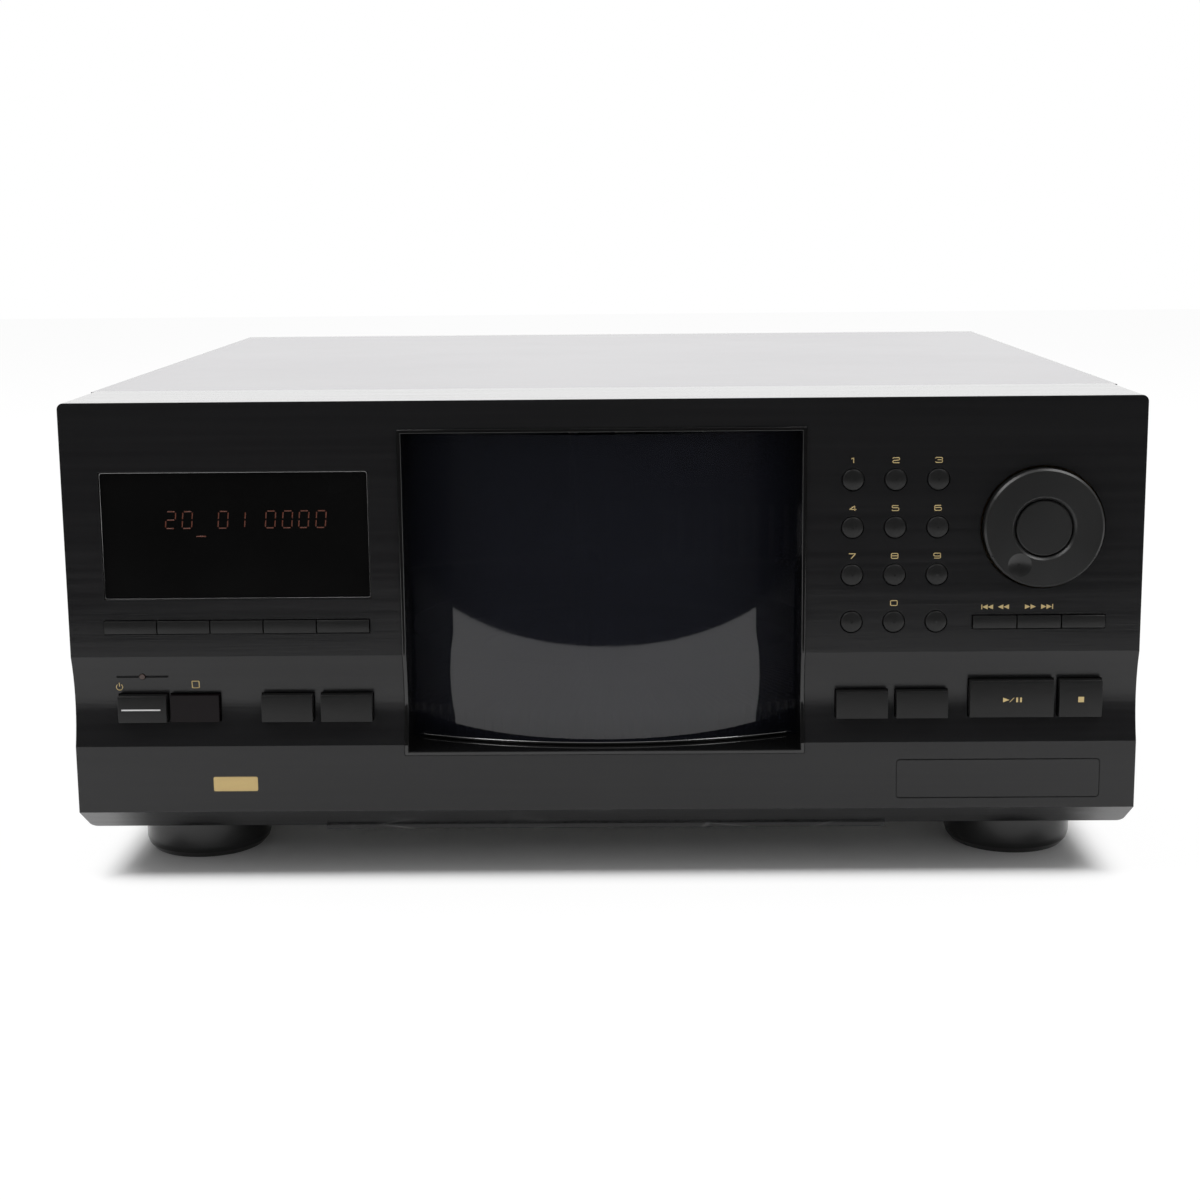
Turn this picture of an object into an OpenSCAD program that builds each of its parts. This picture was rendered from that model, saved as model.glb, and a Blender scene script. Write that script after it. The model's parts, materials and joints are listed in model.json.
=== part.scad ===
// A disc changer that files three hundred compact discs on edge in a round carousel, behind a
// smoked door that slides round with the carousel's curve. Millimetres, +Z up, the front faces -Y.

/* [Body] */
// Width of the cabinet
body_w = 420; // [412:1:440]
// Height from the floor to the top of the front cabinet
body_h = 193; // [190:1:200]
// Depth from the front face to the back edge of the bonnet
body_d = 392; // [388:1:410]
// Depth of the moulded front cabinet, back to the bonnet's front edge
front_d = 49; // [44:1:54]
// Wall of the moulded front cabinet
front_wall = 2.5; // [2:0.1:3]
// Radius of the front face's four corners
face_corner = 2.5; // [1.5:0.5:4]
// Thickness of the bonnet's sheet steel
bonnet_t = 1; // [0.8:0.1:1.2]
// Thickness of the chassis and rear panel sheet
chassis_t = 1.2; // [1:0.1:1.5]

/* [Feet and chin] */
// Height of the feet
foot_h = 18; // [16:0.5:20]
// Diameter of a foot
foot_d = 52; // [46:1:56]
// Foot centre from the cabinet's side
foot_side = 40; // [34:1:46]
// Foot centre from the front face, and from the bonnet's back edge
foot_end = 53.5; // [50:0.5:60]
// How far the sloping chin runs back under the face
chin_d = 17; // [14:0.5:19]
// How far the sloping chin drops below the face
chin_drop = 11.1; // [9:0.1:13]
// Width of the lip under the chin
lip_w = 228; // [200:1:240]
// Drop of the lip under the chin
lip_drop = 1.8; // [1:0.1:2.5]

/* [Scoop] */
// Height of the scoop's upper crease
scoop_top = 92.6; // [91:0.1:95]
// Height of the scoop's lower crease
scoop_low = 56.2; // [54:0.1:58]
// Depth of the hollow scoop that runs across the face
scoop_d = 3; // [2:0.1:3.5]

/* [Door and its opening] */
// Width of the opening in the face
open_w = 158.4; // [150:0.1:162]
// Bottom edge of the opening
open_low = 51.9; // [51:0.1:53]
// Top edge of the opening
open_top = 181.9; // [180:0.1:184]
// Wall of the collar that lines the opening
collar_t = 1.6; // [1.2:0.1:2]
// How far the collar's rim stands proud of the face
collar_proud = 0.6; // [0.3:0.1:1]
// Room from the curved door's path to the cabinet's sides
door_room = 22; // [21:0.5:26]
// Thickness of the door
door_t = 2.4; // [2:0.1:2.6]
// Depth of the door's crown behind the face
door_back = 8; // [7.5:0.1:9]
// Angle that the door covers either side of its middle
door_half = 29; // [28:0.5:30]
// Top edge of the door
door_top = 178.6; // [177:0.1:179]
// Clearance between the door and what it passes
door_gap = 0.8; // [0.6:0.1:1]

/* [Carousel] */
// Distance from the door's outside in to the carousel's rim
rim_room = 5; // [4.5:0.1:7]
// Number of disc slots
slot_count = 300; // [240:10:300]
// Thickness of a slot fin
fin_t = 0.7; // [0.5:0.05:0.7]
// Radius at which the fins begin
fin_r = 98; // [96:1:110]
// Height of the fins above the carousel's floor
fin_h = 13; // [10:0.5:14]
// Top of the carousel's floor
floor_z = 52; // [51.5:0.1:53]
// Thickness of the carousel's floor
floor_t = 3; // [2.5:0.1:3.5]
// Bore of the carousel's hub
hub_r = 66.4; // [66:0.1:67]

/* [Drive] */
// Module of every gear
gear_m = 2; // [2:0.5:2]
// Distance from the door's outside in to the ring gear's pitch circle
ring_in = 48; // [47:0.5:52]
// Distance from the door's outside in to its rack's pitch circle
rack_in = 10; // [9.5:0.5:11]
// Teeth on each pinion
pinion_teeth = 14; // [12:1:14]
// Diameter of a flat motor
motor_d = 24.4; // [22:0.2:25]
// Height of a flat motor
motor_h = 12.3; // [11:0.1:13]
// Radius of a motor's shaft
shaft_r = 1; // [0.8:0.1:1.2]

/* [Controls] */
// Diameter of a round key
round_d = 8.2; // [7:0.1:9]
// Spacing of the round keys across
round_dx = 16.5; // [15:0.1:17]
// Spacing of the round keys up
round_dz = 18.7; // [17:0.1:19]
// Height of the slim keys
slim_h = 5; // [4.5:0.1:5.5]
// Width of a slim key under the display
slim_w = 20.4; // [19:0.1:20.6]
// Width of a slim key under the dial
skip_w = 16.8; // [15:0.1:17]
// Height of the broad keys
broad_h = 10.8; // [10:0.1:11.4]
// Width of the broad keys
broad_w = 20.2; // [18:0.1:20.8]
// Height of the tall pair of keys
tall_h = 14.8; // [13:0.1:15.2]
// Width of the wider tall key
tall_w = 33; // [30:0.1:33.2]
// Width of the narrower tall key
short_w = 16.8; // [15:0.1:17]
// Gap round each key
key_gap = 0.35; // [0.25:0.05:0.5]
// How far a key stands out of the face
key_proud = 1.4; // [1:0.1:2]
// Travel of a key
key_travel = 0.8; // [0.5:0.1:0.8]
// Diameter of the turning dial
dial_d = 46.4; // [42:0.2:48]
// How far the dial stands out of the face
dial_proud = 4; // [3:0.1:5]
// Diameter of the push button in the dial's middle
enter_d = 21.6; // [20:0.2:23]

/* [Display] */
// Width of the display window
window_w = 104.8; // [100:0.1:106]
// Height of the display window
window_h = 50.4; // [46:0.1:52]
// Depth of the window's face behind the front face
window_back = 1; // [0.6:0.1:1.2]

/* [Sockets] */
// How far the sockets stand out of the bonnet's back edge
socket_proud = 6; // [5:0.1:8]
// Outer radius of a phono socket's barrel
phono_r = 4.15; // [4.15:0.05:4.2]
// Bore radius of the mains cord's gland
gland_r = 3.6; // [3:0.1:4]

/* [Hidden] */
$fn = 64;

// Clearances that the pieces share
fit = 0.3;
run = 0.05;
eps = 0.01;

// The controls, the opening and the sockets spread with the cabinet's width
across = body_w / 420;
open_span = open_w * across;
window_span = window_w * across;
slim_span = slim_w * across;
skip_span = skip_w * across;
broad_span = broad_w * across;
tall_span = tall_w * across;
short_span = short_w * across;
round_pitch = round_dx * across;

// The door's radius is the largest that the width and the depth both leave room for
door_r = min(body_w / 2, body_d / 2 + 14) - door_room;
rack_r = door_r - rim_room;
ring_teeth = floor(2 * (door_r - ring_in) / gear_m);
rack_teeth = floor(2 * (door_r - rack_in) / gear_m);

// Depth stations, front to back
total_d = dial_proud + body_d + socket_proud;
face_y = dial_proud - total_d / 2;
rear_y = face_y + body_d;
front_back_y = face_y + front_d;
wall_y = face_y + front_wall;
band_wall_y = face_y + front_wall + scoop_d + 0.3;
board_y = face_y + 11;
board_t = 1.6;
switch_h = 1.1;
axis_y = face_y + door_back + door_r;
chin_back_y = face_y + chin_d;
rear_in_y = rear_y - 2;

// Height stations
face_low = foot_h + chin_drop;
bonnet_top = body_h - 0.3;
chassis_top = foot_h + chassis_t;
base_z = 22;
base_t = 2.4;
base_top = base_z + base_t;
shelf_z = 43.7;
rack_low = shelf_z + fit;
rack_h = 4.4;
ring_low = 41;
open_mid = (open_top + open_low) / 2;
open_h = open_top - open_low;
band_mid = (scoop_top + scoop_low) / 2;

// Scoop: an arc through both creases
scoop_chord = scoop_top - scoop_low;
scoop_r = (pow(scoop_chord / 2, 2) + pow(scoop_d, 2)) / (2 * scoop_d);

// Places of the controls on the face, from the cabinet's middle and the floor
round_x = 97.1 * across;
round_z = 161;
slim_z = 104.6;
slim_x = -143.8 * across;
slim_pitch = slim_span + 0.5;
skip_x = 170.2 * across;
skip_pitch = skip_span + 0.5;
broad_z = 71.5;
power_x = -182.6 * across;
sensor_x = -161.9 * across;
access_x = -125.2 * across;
single_x = -101.7 * across;
open_x = 101.7 * across;
unload_x = 125.3 * across;
tall_z = 73.6;
play_x = 160.5 * across;
stop_x = 187.5 * across;
dial_x = 170.8 * across;
dial_z = 142;
dial_gap = 1;
dimple_r = 17.1;
dimple_angle = 237;
window_x = -143.1 * across;
window_z = 140.8;
lamp_x = -182.6 * across;
lamp_z = 84.2;
lamp_r = 1.1;
line_l = 20.5;
plate_x = 155.8 * across;
plate_z = 41.2;
plate_w = 80.6 * across;
plate_h = 16;
plate_line = 0.35;

// The key and board hardware behind the face
key_flange_t = 1.2;
key_flange = 1;
stem_end_y = board_y - switch_h - key_travel - 0.1;
post_r = 3;

// Sockets on the rear panel
phono_x = [40 - body_w / 2, 58 - body_w / 2];
phono_z = 46;
optical_x = 88 - body_w / 2;
optical_z = 44;
mini_x = [112 - body_w / 2, 126 - body_w / 2];
mini_z = 42;
mini_r = 1.75;
gland_x = body_w / 2 - 38;
gland_z = 52;
gland_grip = 6;

// The mechanism in the middle of the carousel; a disc stands in the plane x = 0
disc_r = 60;
disc_z = floor_z + disc_r;
mech_x = -17.5;
mech_t = 2.5;
mech_half = 42;
rod_r = 1.5;
rod_x = -10;
rod_y = 18;
rod_low = 36;
rod_top = 106;
lug_t = 2;
arm_pin_y = 30;
arm_pin_z = 40;
arm_pin_r = 2;
clamp_x = 9;
clamp_z = 160;
clamp_pin_r = 1.5;
pickup_travel = 34;

// Gears
ring_r = gear_m * ring_teeth / 2;
door_rack_r = gear_m * rack_teeth / 2;
pinion_r = gear_m * pinion_teeth / 2;
ring_pinion_angle = 225;
door_pinion_angle = -63;
door_pinion_d = door_rack_r - pinion_r;
ring_pinion_d = ring_r + pinion_r;

// Screws: one size throughout
screw_r = 1.5;
screw_l = 8;
screw_head_r = 3;
screw_head_h = 1.5;
screw_hole_r = screw_r + 0.1;
side_screw_y = [front_back_y + 35, rear_y - 45];
side_screw_z = 120;
rear_screw_x = [60 - body_w / 2, 0, body_w / 2 - 60];
rear_screw_z = body_h - 14;
tray_flange_h = 110;

function feet_at() = [
    for (sx = [-1, 1], y = [face_y + foot_end, rear_y - foot_end]) [sx * (body_w / 2 - foot_side), y]
];

// Turns a flat drawing so that it lies on the front face: +Z comes out of the face.
module on_face(x, z) {
    translate([x, face_y, z]) rotate([90, 0, 0]) children();
}

// A block on the face from depth a to depth b, both measured out of the face.
module face_block(x, z, w, h, a, b) {
    on_face(x, z) translate([-w / 2, -h / 2, a]) cube([w, h, b - a]);
}

module face_disc(x, z, r, a, b) {
    on_face(x, z) translate([0, 0, a]) cylinder(r = r, h = b - a);
}

// A rectangle with round corners, exact in its arcs.
module round_rect(w, h, r) {
    square([w - 2 * r, h], center = true);
    square([w, h - 2 * r], center = true);
    for (sx = [-1, 1], sy = [-1, 1])
        translate([sx * (w / 2 - r), sy * (h / 2 - r)]) circle(r = r);
}

// Lays a profile drawn in the (Y, Z) plane along X, centred.
module along_x(length) {
    translate([-length / 2, 0, 0]) rotate([90, 0, 90]) linear_extrude(height = length) children();
}

// A cylinder whose axis runs along Y from y0 to y1.
module rod_y_axis(x, z, r, y0, y1) {
    translate([x, y0, z]) rotate([-90, 0, 0]) cylinder(r = r, h = y1 - y0);
}

// A cylinder whose axis runs along X from x0 to x1.
module rod_x_axis(y, z, r, x0, x1) {
    translate([x0, y, z]) rotate([0, 90, 0]) cylinder(r = r, h = x1 - x0);
}

// A gear outline of straight-flanked teeth. thick is the tooth's share of the pitch at the pitch
// circle, tip and root its reach outside and inside that circle, and lean the flank's half slope.
function tooth_half(r, r0, teeth, thick, lean) =
    thick * 180 / teeth - (r - r0) * tan(lean) / r0 * 180 / PI;
function gear_points(teeth, thick, tip, root, lean) = let (r0 = gear_m * teeth / 2) [
    for (i = [0 : teeth - 1], k = [0 : 3]) let (
        r = (k == 0 || k == 3) ? r0 - root : r0 + tip,
        side = k < 2 ? -1 : 1,
        a = i * 360 / teeth + side * tooth_half(r, r0, teeth, thick, lean)
    ) [r * cos(a), r * sin(a)]
];
// The same for a length of inner rack, from tooth `from` to tooth `to`, closed round radius `back`.
function rack_points(teeth, from, to, thick, tip, root, lean, back) = let (r0 = gear_m * teeth / 2)
    concat(
        [for (i = [from : to], k = [0 : 3]) let (
            r = (k == 0 || k == 3) ? r0 + root : r0 - tip,
            side = k < 2 ? -1 : 1,
            a = i * 360 / teeth + side * tooth_half(2 * r0 - r, r0, teeth, thick, lean)
        ) [r * cos(a), r * sin(a)]],
        [for (i = [to : -1 : from]) [back * cos(i * 360 / teeth), back * sin(i * 360 / teeth)]]
    );

// FRONT CABINET
// Outline of the front wall in (Y, Z), moved out of the face by `out`.
module face_profile(out, back) {
    difference() {
        polygon([[face_y - out, face_low], [back, face_low], [back, body_h + 5], [face_y - out, body_h + 5]]);
        translate([face_y - out + scoop_d - scoop_r, band_mid]) circle(r = scoop_r, $fn = 128);
    }
}

// Outline of the whole front cabinet in (Y, Z), with the sloping chin.
module cabinet_profile() {
    difference() {
        polygon([
            [face_y, face_low], [chin_back_y, foot_h], [front_back_y, foot_h],
            [front_back_y, body_h], [face_y, body_h]
        ]);
        translate([face_y + scoop_d - scoop_r, band_mid]) circle(r = scoop_r, $fn = 128);
    }
}

// Outline of the room inside the cabinet, a wall's thickness within it.
module cabinet_room() {
    chin_slope = chin_d / chin_drop;
    wall_step = front_wall * sqrt(1 + chin_slope * chin_slope);
    inner_low = foot_h + front_wall;
    inner_back = chin_back_y + wall_step - front_wall * chin_slope;
    meet_z = foot_h + (chin_back_y + wall_step - wall_y) / chin_slope;
    polygon([
        [wall_y, meet_z], [inner_back, inner_low], [front_back_y + 1, inner_low],
        [front_back_y + 1, body_h - front_wall], [wall_y, body_h - front_wall],
        [wall_y, scoop_top + 1], [band_wall_y, scoop_top + 1],
        [band_wall_y, scoop_low - 1], [wall_y, scoop_low - 1]
    ]);
}

module key_hole(x, z, w, h) {
    face_block(x, z, w + 2 * key_gap, h + 2 * key_gap, -20, 10);
}

function round_key_at(col, row) = [round_x + col * round_pitch, round_z - row * round_dz];

module front_holes() {
    for (col = [0 : 2], row = [0 : 3]) let (p = round_key_at(col, row))
        face_disc(p[0], p[1], round_d / 2 + key_gap, -20, 10);
    key_hole(slim_x, slim_z, 4 * slim_pitch + slim_span, slim_h);
    key_hole(skip_x, slim_z, 2 * skip_pitch + skip_span, slim_h);
    for (x = [power_x, access_x, single_x, open_x, unload_x])
        key_hole(x, broad_z, broad_span - (x == power_x ? 1 : 0), broad_h);
    key_hole(sensor_x, broad_z, broad_span - 1, broad_h);
    key_hole(play_x, tall_z, tall_span, tall_h);
    key_hole(stop_x, tall_z, short_span, tall_h);
    face_disc(dial_x, dial_z, dial_d / 2 + dial_gap, -20, 10);
    face_block(window_x, window_z, window_span - 4, window_h - 4, -20, 10);
    face_block(window_x, window_z, window_span, window_h, -window_back - 2, 10);
    face_disc(lamp_x, lamp_z, lamp_r + 0.15, -20, 10);
    face_block(0, open_mid, open_span, open_h, -30, 10);
}

// The thin lines cut into the face: the frame of a blank plate, and the lamp's groove.
module face_lines() {
    face_block(lamp_x, lamp_z, line_l, 0.7, -scoop_d, 2);
    on_face(plate_x, plate_z) translate([0, 0, -plate_line]) linear_extrude(height = 2) difference() {
        round_rect(plate_w, plate_h, 1.5);
        round_rect(plate_w - 2 * plate_line, plate_h - 2 * plate_line, 1.5 - plate_line);
    }
}

board_in = open_span / 2 + 5.3;
board_out = body_w / 2 - 5;
post_low = scoop_low + 5.8;
post_mid = slim_z + slim_h / 2 + key_flange + post_r + 0.9;
post_top = max(body_h - 21, dial_z + 30);
function right_posts() = [for (x = [board_in + 2.5, board_out - 5], z = [post_low, post_mid, post_top]) [x, z]];
function left_posts() = [for (p = right_posts()) [-p[0], p[1]]];

module front_panel() {
    color([0.10, 0.10, 0.11]) {
        difference() {
            intersection() {
                along_x(body_w) difference() {
                    cabinet_profile();
                    difference() {
                        cabinet_room();
                        translate([face_y - 5, 0]) square([5, 300]);
                    }
                }
                translate([0, 0, 0]) on_face(0, (body_h + foot_h) / 2) translate([0, 0, -front_d - 1])
                    linear_extrude(height = front_d + 10) round_rect(body_w, body_h - foot_h, face_corner);
            }
            front_holes();
            face_lines();
        }
        for (s = [-1, 1]) front_side(s);
        for (p = concat(left_posts(), right_posts()))
            rod_y_axis(p[0], p[1], post_r, (p[1] == post_low ? band_wall_y : wall_y) - eps, board_y);
        translate([-lip_w / 2, chin_back_y, foot_h - lip_drop]) cube([lip_w, 12, lip_drop + eps]);
    }
}

// The end wall of the front cabinet, on side s.
module front_side(s) {
    x = s * (body_w - front_wall) / 2;
    translate([x, 0, 0]) intersection() {
        along_x(front_wall) cabinet_room();
        translate([-20, front_back_y - front_d - 5, 0]) cube([40, front_d + 5, 300]);
    }
}

// The glossy lining of the opening, whose back edge follows the door's curve.
module door_collar() {
    color([0.05, 0.05, 0.055]) difference() {
        union() {
            intersection() {
                face_block(0, open_mid, open_span - 0.2, open_h - 0.2, -30, 5);
                along_x(body_w) face_profile(collar_proud, face_y + 30);
            }
            translate([0, 0, 0]) face_block(0, open_mid, open_span + 5, open_h + 5,
                                            face_y - band_wall_y - fit - 1.6, face_y - band_wall_y - fit);
        }
        face_block(0, open_mid, open_span - 2 * collar_t, open_h - 2 * collar_t, -50, 10);
        translate([0, axis_y, 0]) cylinder(r = door_r + door_gap, h = body_h + 10, $fn = 256);
    }
}

module display_window() {
    color([0.06, 0.06, 0.07, 0.9])
        face_block(window_x, window_z, window_span - 0.3, window_h - 0.3, -window_back - 1.9, -window_back);
}

module sensor_window() {
    w = broad_span - 1;
    color([0.12, 0.05, 0.06]) {
        face_block(sensor_x, broad_z, w, broad_h, face_y - band_wall_y - 0.2, 0.2);
        face_block(sensor_x, broad_z, w + 0.8, broad_h + 3,
                   face_y - band_wall_y - fit - 1.2, face_y - band_wall_y - fit);
        face_block(sensor_x, broad_z, w - 2, broad_h - 2, face_y - band_wall_y - fit - 1, face_y - band_wall_y);
    }
}

module standby_lamp() {
    color([0.45, 0.2, 0.1]) rod_y_axis(lamp_x, lamp_z, lamp_r, face_y + 1.7, board_y - fit);
}

module display_tube() {
    tube_w = window_span - 14;
    tube_h = window_h - 12;
    color([0.1, 0.12, 0.12]) {
        face_block(window_x, window_z, tube_w, tube_h, face_y - board_y + 2.3, -window_back - 2.6);
        face_block(window_x, window_z, tube_w - 12, tube_h - 12, face_y - board_y + fit, face_y - board_y + 2.3 + eps);
    }
}

// A push switch on a board, facing the front.
module switch(x, z) {
    color([0.15, 0.15, 0.15]) rod_y_axis(x, z, 1.7, board_y - switch_h, board_y + eps);
}

module board(x0, x1, z0, z1, posts) {
    difference() {
        translate([x0, board_y, z0]) cube([x1 - x0, board_t, z1 - z0]);
        for (p = posts) rod_y_axis(p[0], p[1], 1.2, board_y - 1, board_y + board_t + 1);
    }
}

module display_board() {
    color([0.45, 0.3, 0.12]) board(-board_out, -board_in, post_low - 5, post_top + 4, left_posts());
    for (i = [-2 : 2]) switch(slim_x + i * slim_pitch, slim_z);
    for (x = [power_x, access_x, single_x]) switch(x, broad_z);
    // Connector for the ribbon to the main board
    color([0.9, 0.88, 0.8]) translate([window_x - 17, board_y + board_t - eps, scoop_top - 2.6]) cube([28, 6, 5]);
}

module key_board() {
    enc_back = 6;
    sleeve_r = 6;
    color([0.45, 0.3, 0.12]) difference() {
        board(board_in, board_out, post_low - 5, post_top + 4, right_posts());
        face_disc(dial_x, dial_z, 4, -20, 10);
    }
    for (col = [0 : 2], row = [0 : 3]) let (p = round_key_at(col, row)) switch(p[0], p[1]);
    for (i = [-1 : 1]) switch(skip_x + i * skip_pitch, slim_z);
    for (x = [open_x, unload_x]) switch(x, broad_z);
    for (x = [play_x, stop_x]) switch(x, tall_z);
    // Encoder: a sleeve that the dial turns on, round the push button's stem
    color([0.6, 0.6, 0.62]) difference() {
        union() {
            rod_y_axis(dial_x, dial_z, sleeve_r, face_y - 1, board_y + eps);
            rod_y_axis(dial_x, dial_z, 12, board_y - 3, board_y + eps);
            rod_y_axis(dial_x, dial_z, 8, board_y + board_t - eps, board_y + board_t + enc_back);
        }
        rod_y_axis(dial_x, dial_z, enter_stem_r + run, face_y - 2, board_y + board_t + 1);
    }
}

// BONNET, CHASSIS AND REAR PANEL
module bonnet() {
    side_low = foot_h + 0.6;
    y0 = front_back_y + 0.3;
    color([0.16, 0.15, 0.17]) difference() {
        translate([-body_w / 2, y0, side_low]) cube([body_w, rear_y - y0, bonnet_top - side_low]);
        translate([-body_w / 2 + bonnet_t, y0 - 1, side_low - 1])
            cube([body_w - 2 * bonnet_t, rear_y - y0 + 2, bonnet_top - side_low + 1 - bonnet_t]);
        for (y = side_screw_y) rod_x_axis(y, side_screw_z, screw_hole_r, -body_w, body_w);
    }
    // Return flanges that the rear screws pass through
    color([0.16, 0.15, 0.17]) difference() {
        translate([-body_w / 2 + 20, rear_y - 1, rear_screw_z - 8])
            cube([body_w - 40, 0.9, bonnet_top - bonnet_t - rear_screw_z + 8 + eps]);
        for (x = rear_screw_x) rod_y_axis(x, rear_screw_z, screw_hole_r, rear_y - 5, rear_y + 5);
    }
}

tray_w = body_w - 2 * bonnet_t - 2 * fit;

module chassis() {
    y0 = front_back_y + 0.3;
    y1 = rear_in_y - 0.1;
    color([0.62, 0.63, 0.65]) difference() {
        union() {
            translate([-tray_w / 2, y0, foot_h]) cube([tray_w, y1 - y0, chassis_t]);
            for (s = [-1, 1]) translate([s * (tray_w - chassis_t) / 2 - chassis_t / 2, y0, foot_h])
                cube([chassis_t, y1 - y0, tray_flange_h]);
        }
        for (p = feet_at()) translate([p[0], p[1], 0]) cylinder(r = screw_hole_r, h = foot_h + 10);
        for (y = side_screw_y) rod_x_axis(y, side_screw_z, screw_hole_r, -body_w, body_w);
    }
}

module rear_panel() {
    color([0.14, 0.14, 0.15]) difference() {
        translate([-tray_w / 2, rear_in_y, foot_h])
            cube([tray_w, 0.9, bonnet_top - bonnet_t - fit - foot_h]);
        for (x = phono_x) rod_y_axis(x, phono_z, phono_r + 1.2, rear_in_y - 5, rear_y + 5);
        translate([optical_x - 5.3, rear_in_y - 5, optical_z - 5.3]) cube([10.6, 20, 10.6]);
        for (x = mini_x) rod_y_axis(x, mini_z, 4.2, rear_in_y - 5, rear_y + 5);
        rod_y_axis(gland_x, gland_z, gland_grip + 0.1, rear_in_y - 5, rear_y + 5);
        for (x = rear_screw_x) rod_y_axis(x, rear_screw_z, screw_hole_r, rear_in_y - 5, rear_y + 5);
        // Cooling slots
        for (i = [0 : 9]) translate([30 + i * 9, rear_in_y - 5, 60]) cube([3, 20, 32]);
    }
}

// One screw, head below z = 0 and shank above it.
module screw() {
    color([0.2, 0.2, 0.2]) difference() {
        union() {
            translate([0, 0, -screw_head_h]) cylinder(r = screw_head_r, h = screw_head_h);
            cylinder(r = screw_r, h = screw_l);
        }
        for (a = [0, 90]) rotate([0, 0, a]) translate([-1.7, -0.35, -screw_head_h - 1]) cube([3.4, 0.7, 1.8]);
    }
}

foot_roof = 6;

module screws() {
    for (s = [-1, 1], y = side_screw_y)
        translate([s * (body_w / 2 + 0.02), y, side_screw_z]) rotate([0, -s * 90, 0]) screw();
    for (x = rear_screw_x) translate([x, rear_y + 0.02, rear_screw_z]) rotate([90, 0, 0]) screw();
    for (p = feet_at()) translate([p[0], p[1], foot_h - foot_roof - 0.02]) screw();
}

module foot() {
    r = foot_d / 2;
    inner = r - 5;
    color([0.05, 0.05, 0.055]) rotate_extrude($fn = 96) polygon([
        [screw_hole_r, foot_h - foot_roof], [inner, foot_h - foot_roof], [inner, 0.8], [inner + 0.8, 0],
        [r - 2.6, 0], [r - 0.6, 2.4], [r, 4.4], [r, foot_h], [screw_hole_r, foot_h]
    ]);
}

module feet() {
    for (p = feet_at()) translate([p[0], p[1], 0]) foot();
}

// SOCKETS
module line_out_jacks() {
    w = phono_x[1] - phono_x[0] + 18;
    tip_y = rear_y + socket_proud;
    color([0.1, 0.1, 0.1]) difference() {
        union() {
            translate([phono_x[0] - 9, rear_in_y - 14, board_low + board_t + fit])
                cube([w, 13.9, phono_z + 9 - board_low - board_t - fit]);
            for (x = phono_x) rod_y_axis(x, phono_z, phono_r, rear_in_y - 1, tip_y);
            for (x = phono_x) rod_y_axis(x, phono_z, phono_r + 1, rear_in_y - 1, rear_y + 0.5);
        }
        for (x = phono_x) rod_y_axis(x, phono_z, 1.65, tip_y - 9, tip_y + 1);
    }
}

module digital_out() {
    size = 10;
    socket = 8.4;
    color([0.12, 0.12, 0.12]) difference() {
        union() {
            translate([optical_x - 7, rear_in_y - 12, board_low + board_t + fit])
                cube([14, 11.9, optical_z + 7 - board_low - board_t - fit]);
            translate([optical_x - size / 2, rear_in_y - 1, optical_z - size / 2]) cube([size, 3.4, size]);
        }
        translate([optical_x - socket / 2, rear_in_y - 5, optical_z - socket / 2]) cube([socket, 10, socket]);
    }
}

module control_jacks() {
    color([0.1, 0.1, 0.1]) for (x = mini_x) difference() {
        union() {
            translate([x - 5.5, rear_in_y - 13, board_low + board_t + fit])
                cube([11, 12.9, mini_z + 5 - board_low - board_t - fit]);
            rod_y_axis(x, mini_z, 4, rear_in_y - 1, rear_y + 0.5);
        }
        rod_y_axis(x, mini_z, mini_r, rear_in_y - 11, rear_y + 2);
    }
}

module cord_gland() {
    color([0.05, 0.05, 0.05]) difference() {
        union() {
            rod_y_axis(gland_x, gland_z, gland_grip, rear_in_y - 5, rear_y + 3);
            rod_y_axis(gland_x, gland_z, 8.5, rear_in_y + 1.1, rear_y + 3);
            rod_y_axis(gland_x, gland_z, 7.6, rear_in_y - 5, rear_in_y - 0.2);
        }
        rod_y_axis(gland_x, gland_z, gland_r, rear_in_y - 6, rear_y + 4);
    }
}

// ELECTRICAL PARTS INSIDE
board_low = 30;
main_x0 = 8 - body_w / 2;
main_x1 = main_x0 + 130;
main_y0 = rear_in_y - 104;
main_y1 = rear_in_y - 4;
function main_posts() = [for (x = [main_x0 + 6, main_x1 - 6], y = [main_y0 + 6, main_y1 - 20]) [x, y]];

module main_board() {
    color([0.45, 0.3, 0.12]) difference() {
        translate([main_x0, main_y0, board_low]) cube([main_x1 - main_x0, main_y1 - main_y0, board_t]);
        for (p = main_posts()) translate([p[0], p[1], 0]) cylinder(r = 1.2, h = 60);
    }
    top = board_low + board_t - eps;
    color([0.15, 0.15, 0.3]) for (i = [0 : 3]) translate([main_x0 + 12 + i * 14, main_y1 - 34, top]) cylinder(d = 10, h = 16);
    color([0.05, 0.05, 0.05]) {
        translate([main_x0 + 32, main_y0 + 30, top]) cube([16, 16, 2.6]);
        translate([main_x0 + 72, main_y0 + 42, top]) cube([22, 9, 3]);
        translate([main_x0 + 90, main_y0 + 16, top]) cube([14, 14, 2.4]);
    }
    color([0.9, 0.88, 0.8]) for (i = [0 : 2]) translate([main_x0 + 7, main_y0 + 16 + i * 18, top]) cube([6, 14, 7]);
}

module transformer() {
    core = [50, 24, 42];
    coil = [32, 42, 30];
    x = body_w / 2 - 38;
    y = rear_in_y - 46;
    color([0.4, 0.4, 0.42]) translate([x - core[0] / 2, y - core[1] / 2, base_top]) cube(core);
    color([0.55, 0.4, 0.1]) difference() {
        translate([x - coil[0] / 2, y - coil[1] / 2, base_top + 6]) cube(coil);
        translate([x - core[0] / 2, y - core[1] / 2, base_top]) cube(core);
    }
}

// BASE MOULDING: carries the carousel, the door's rail, the motors and the mechanism
base_hub_r = hub_r - 0.2;
hub_skirt = 3.6;

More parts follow.
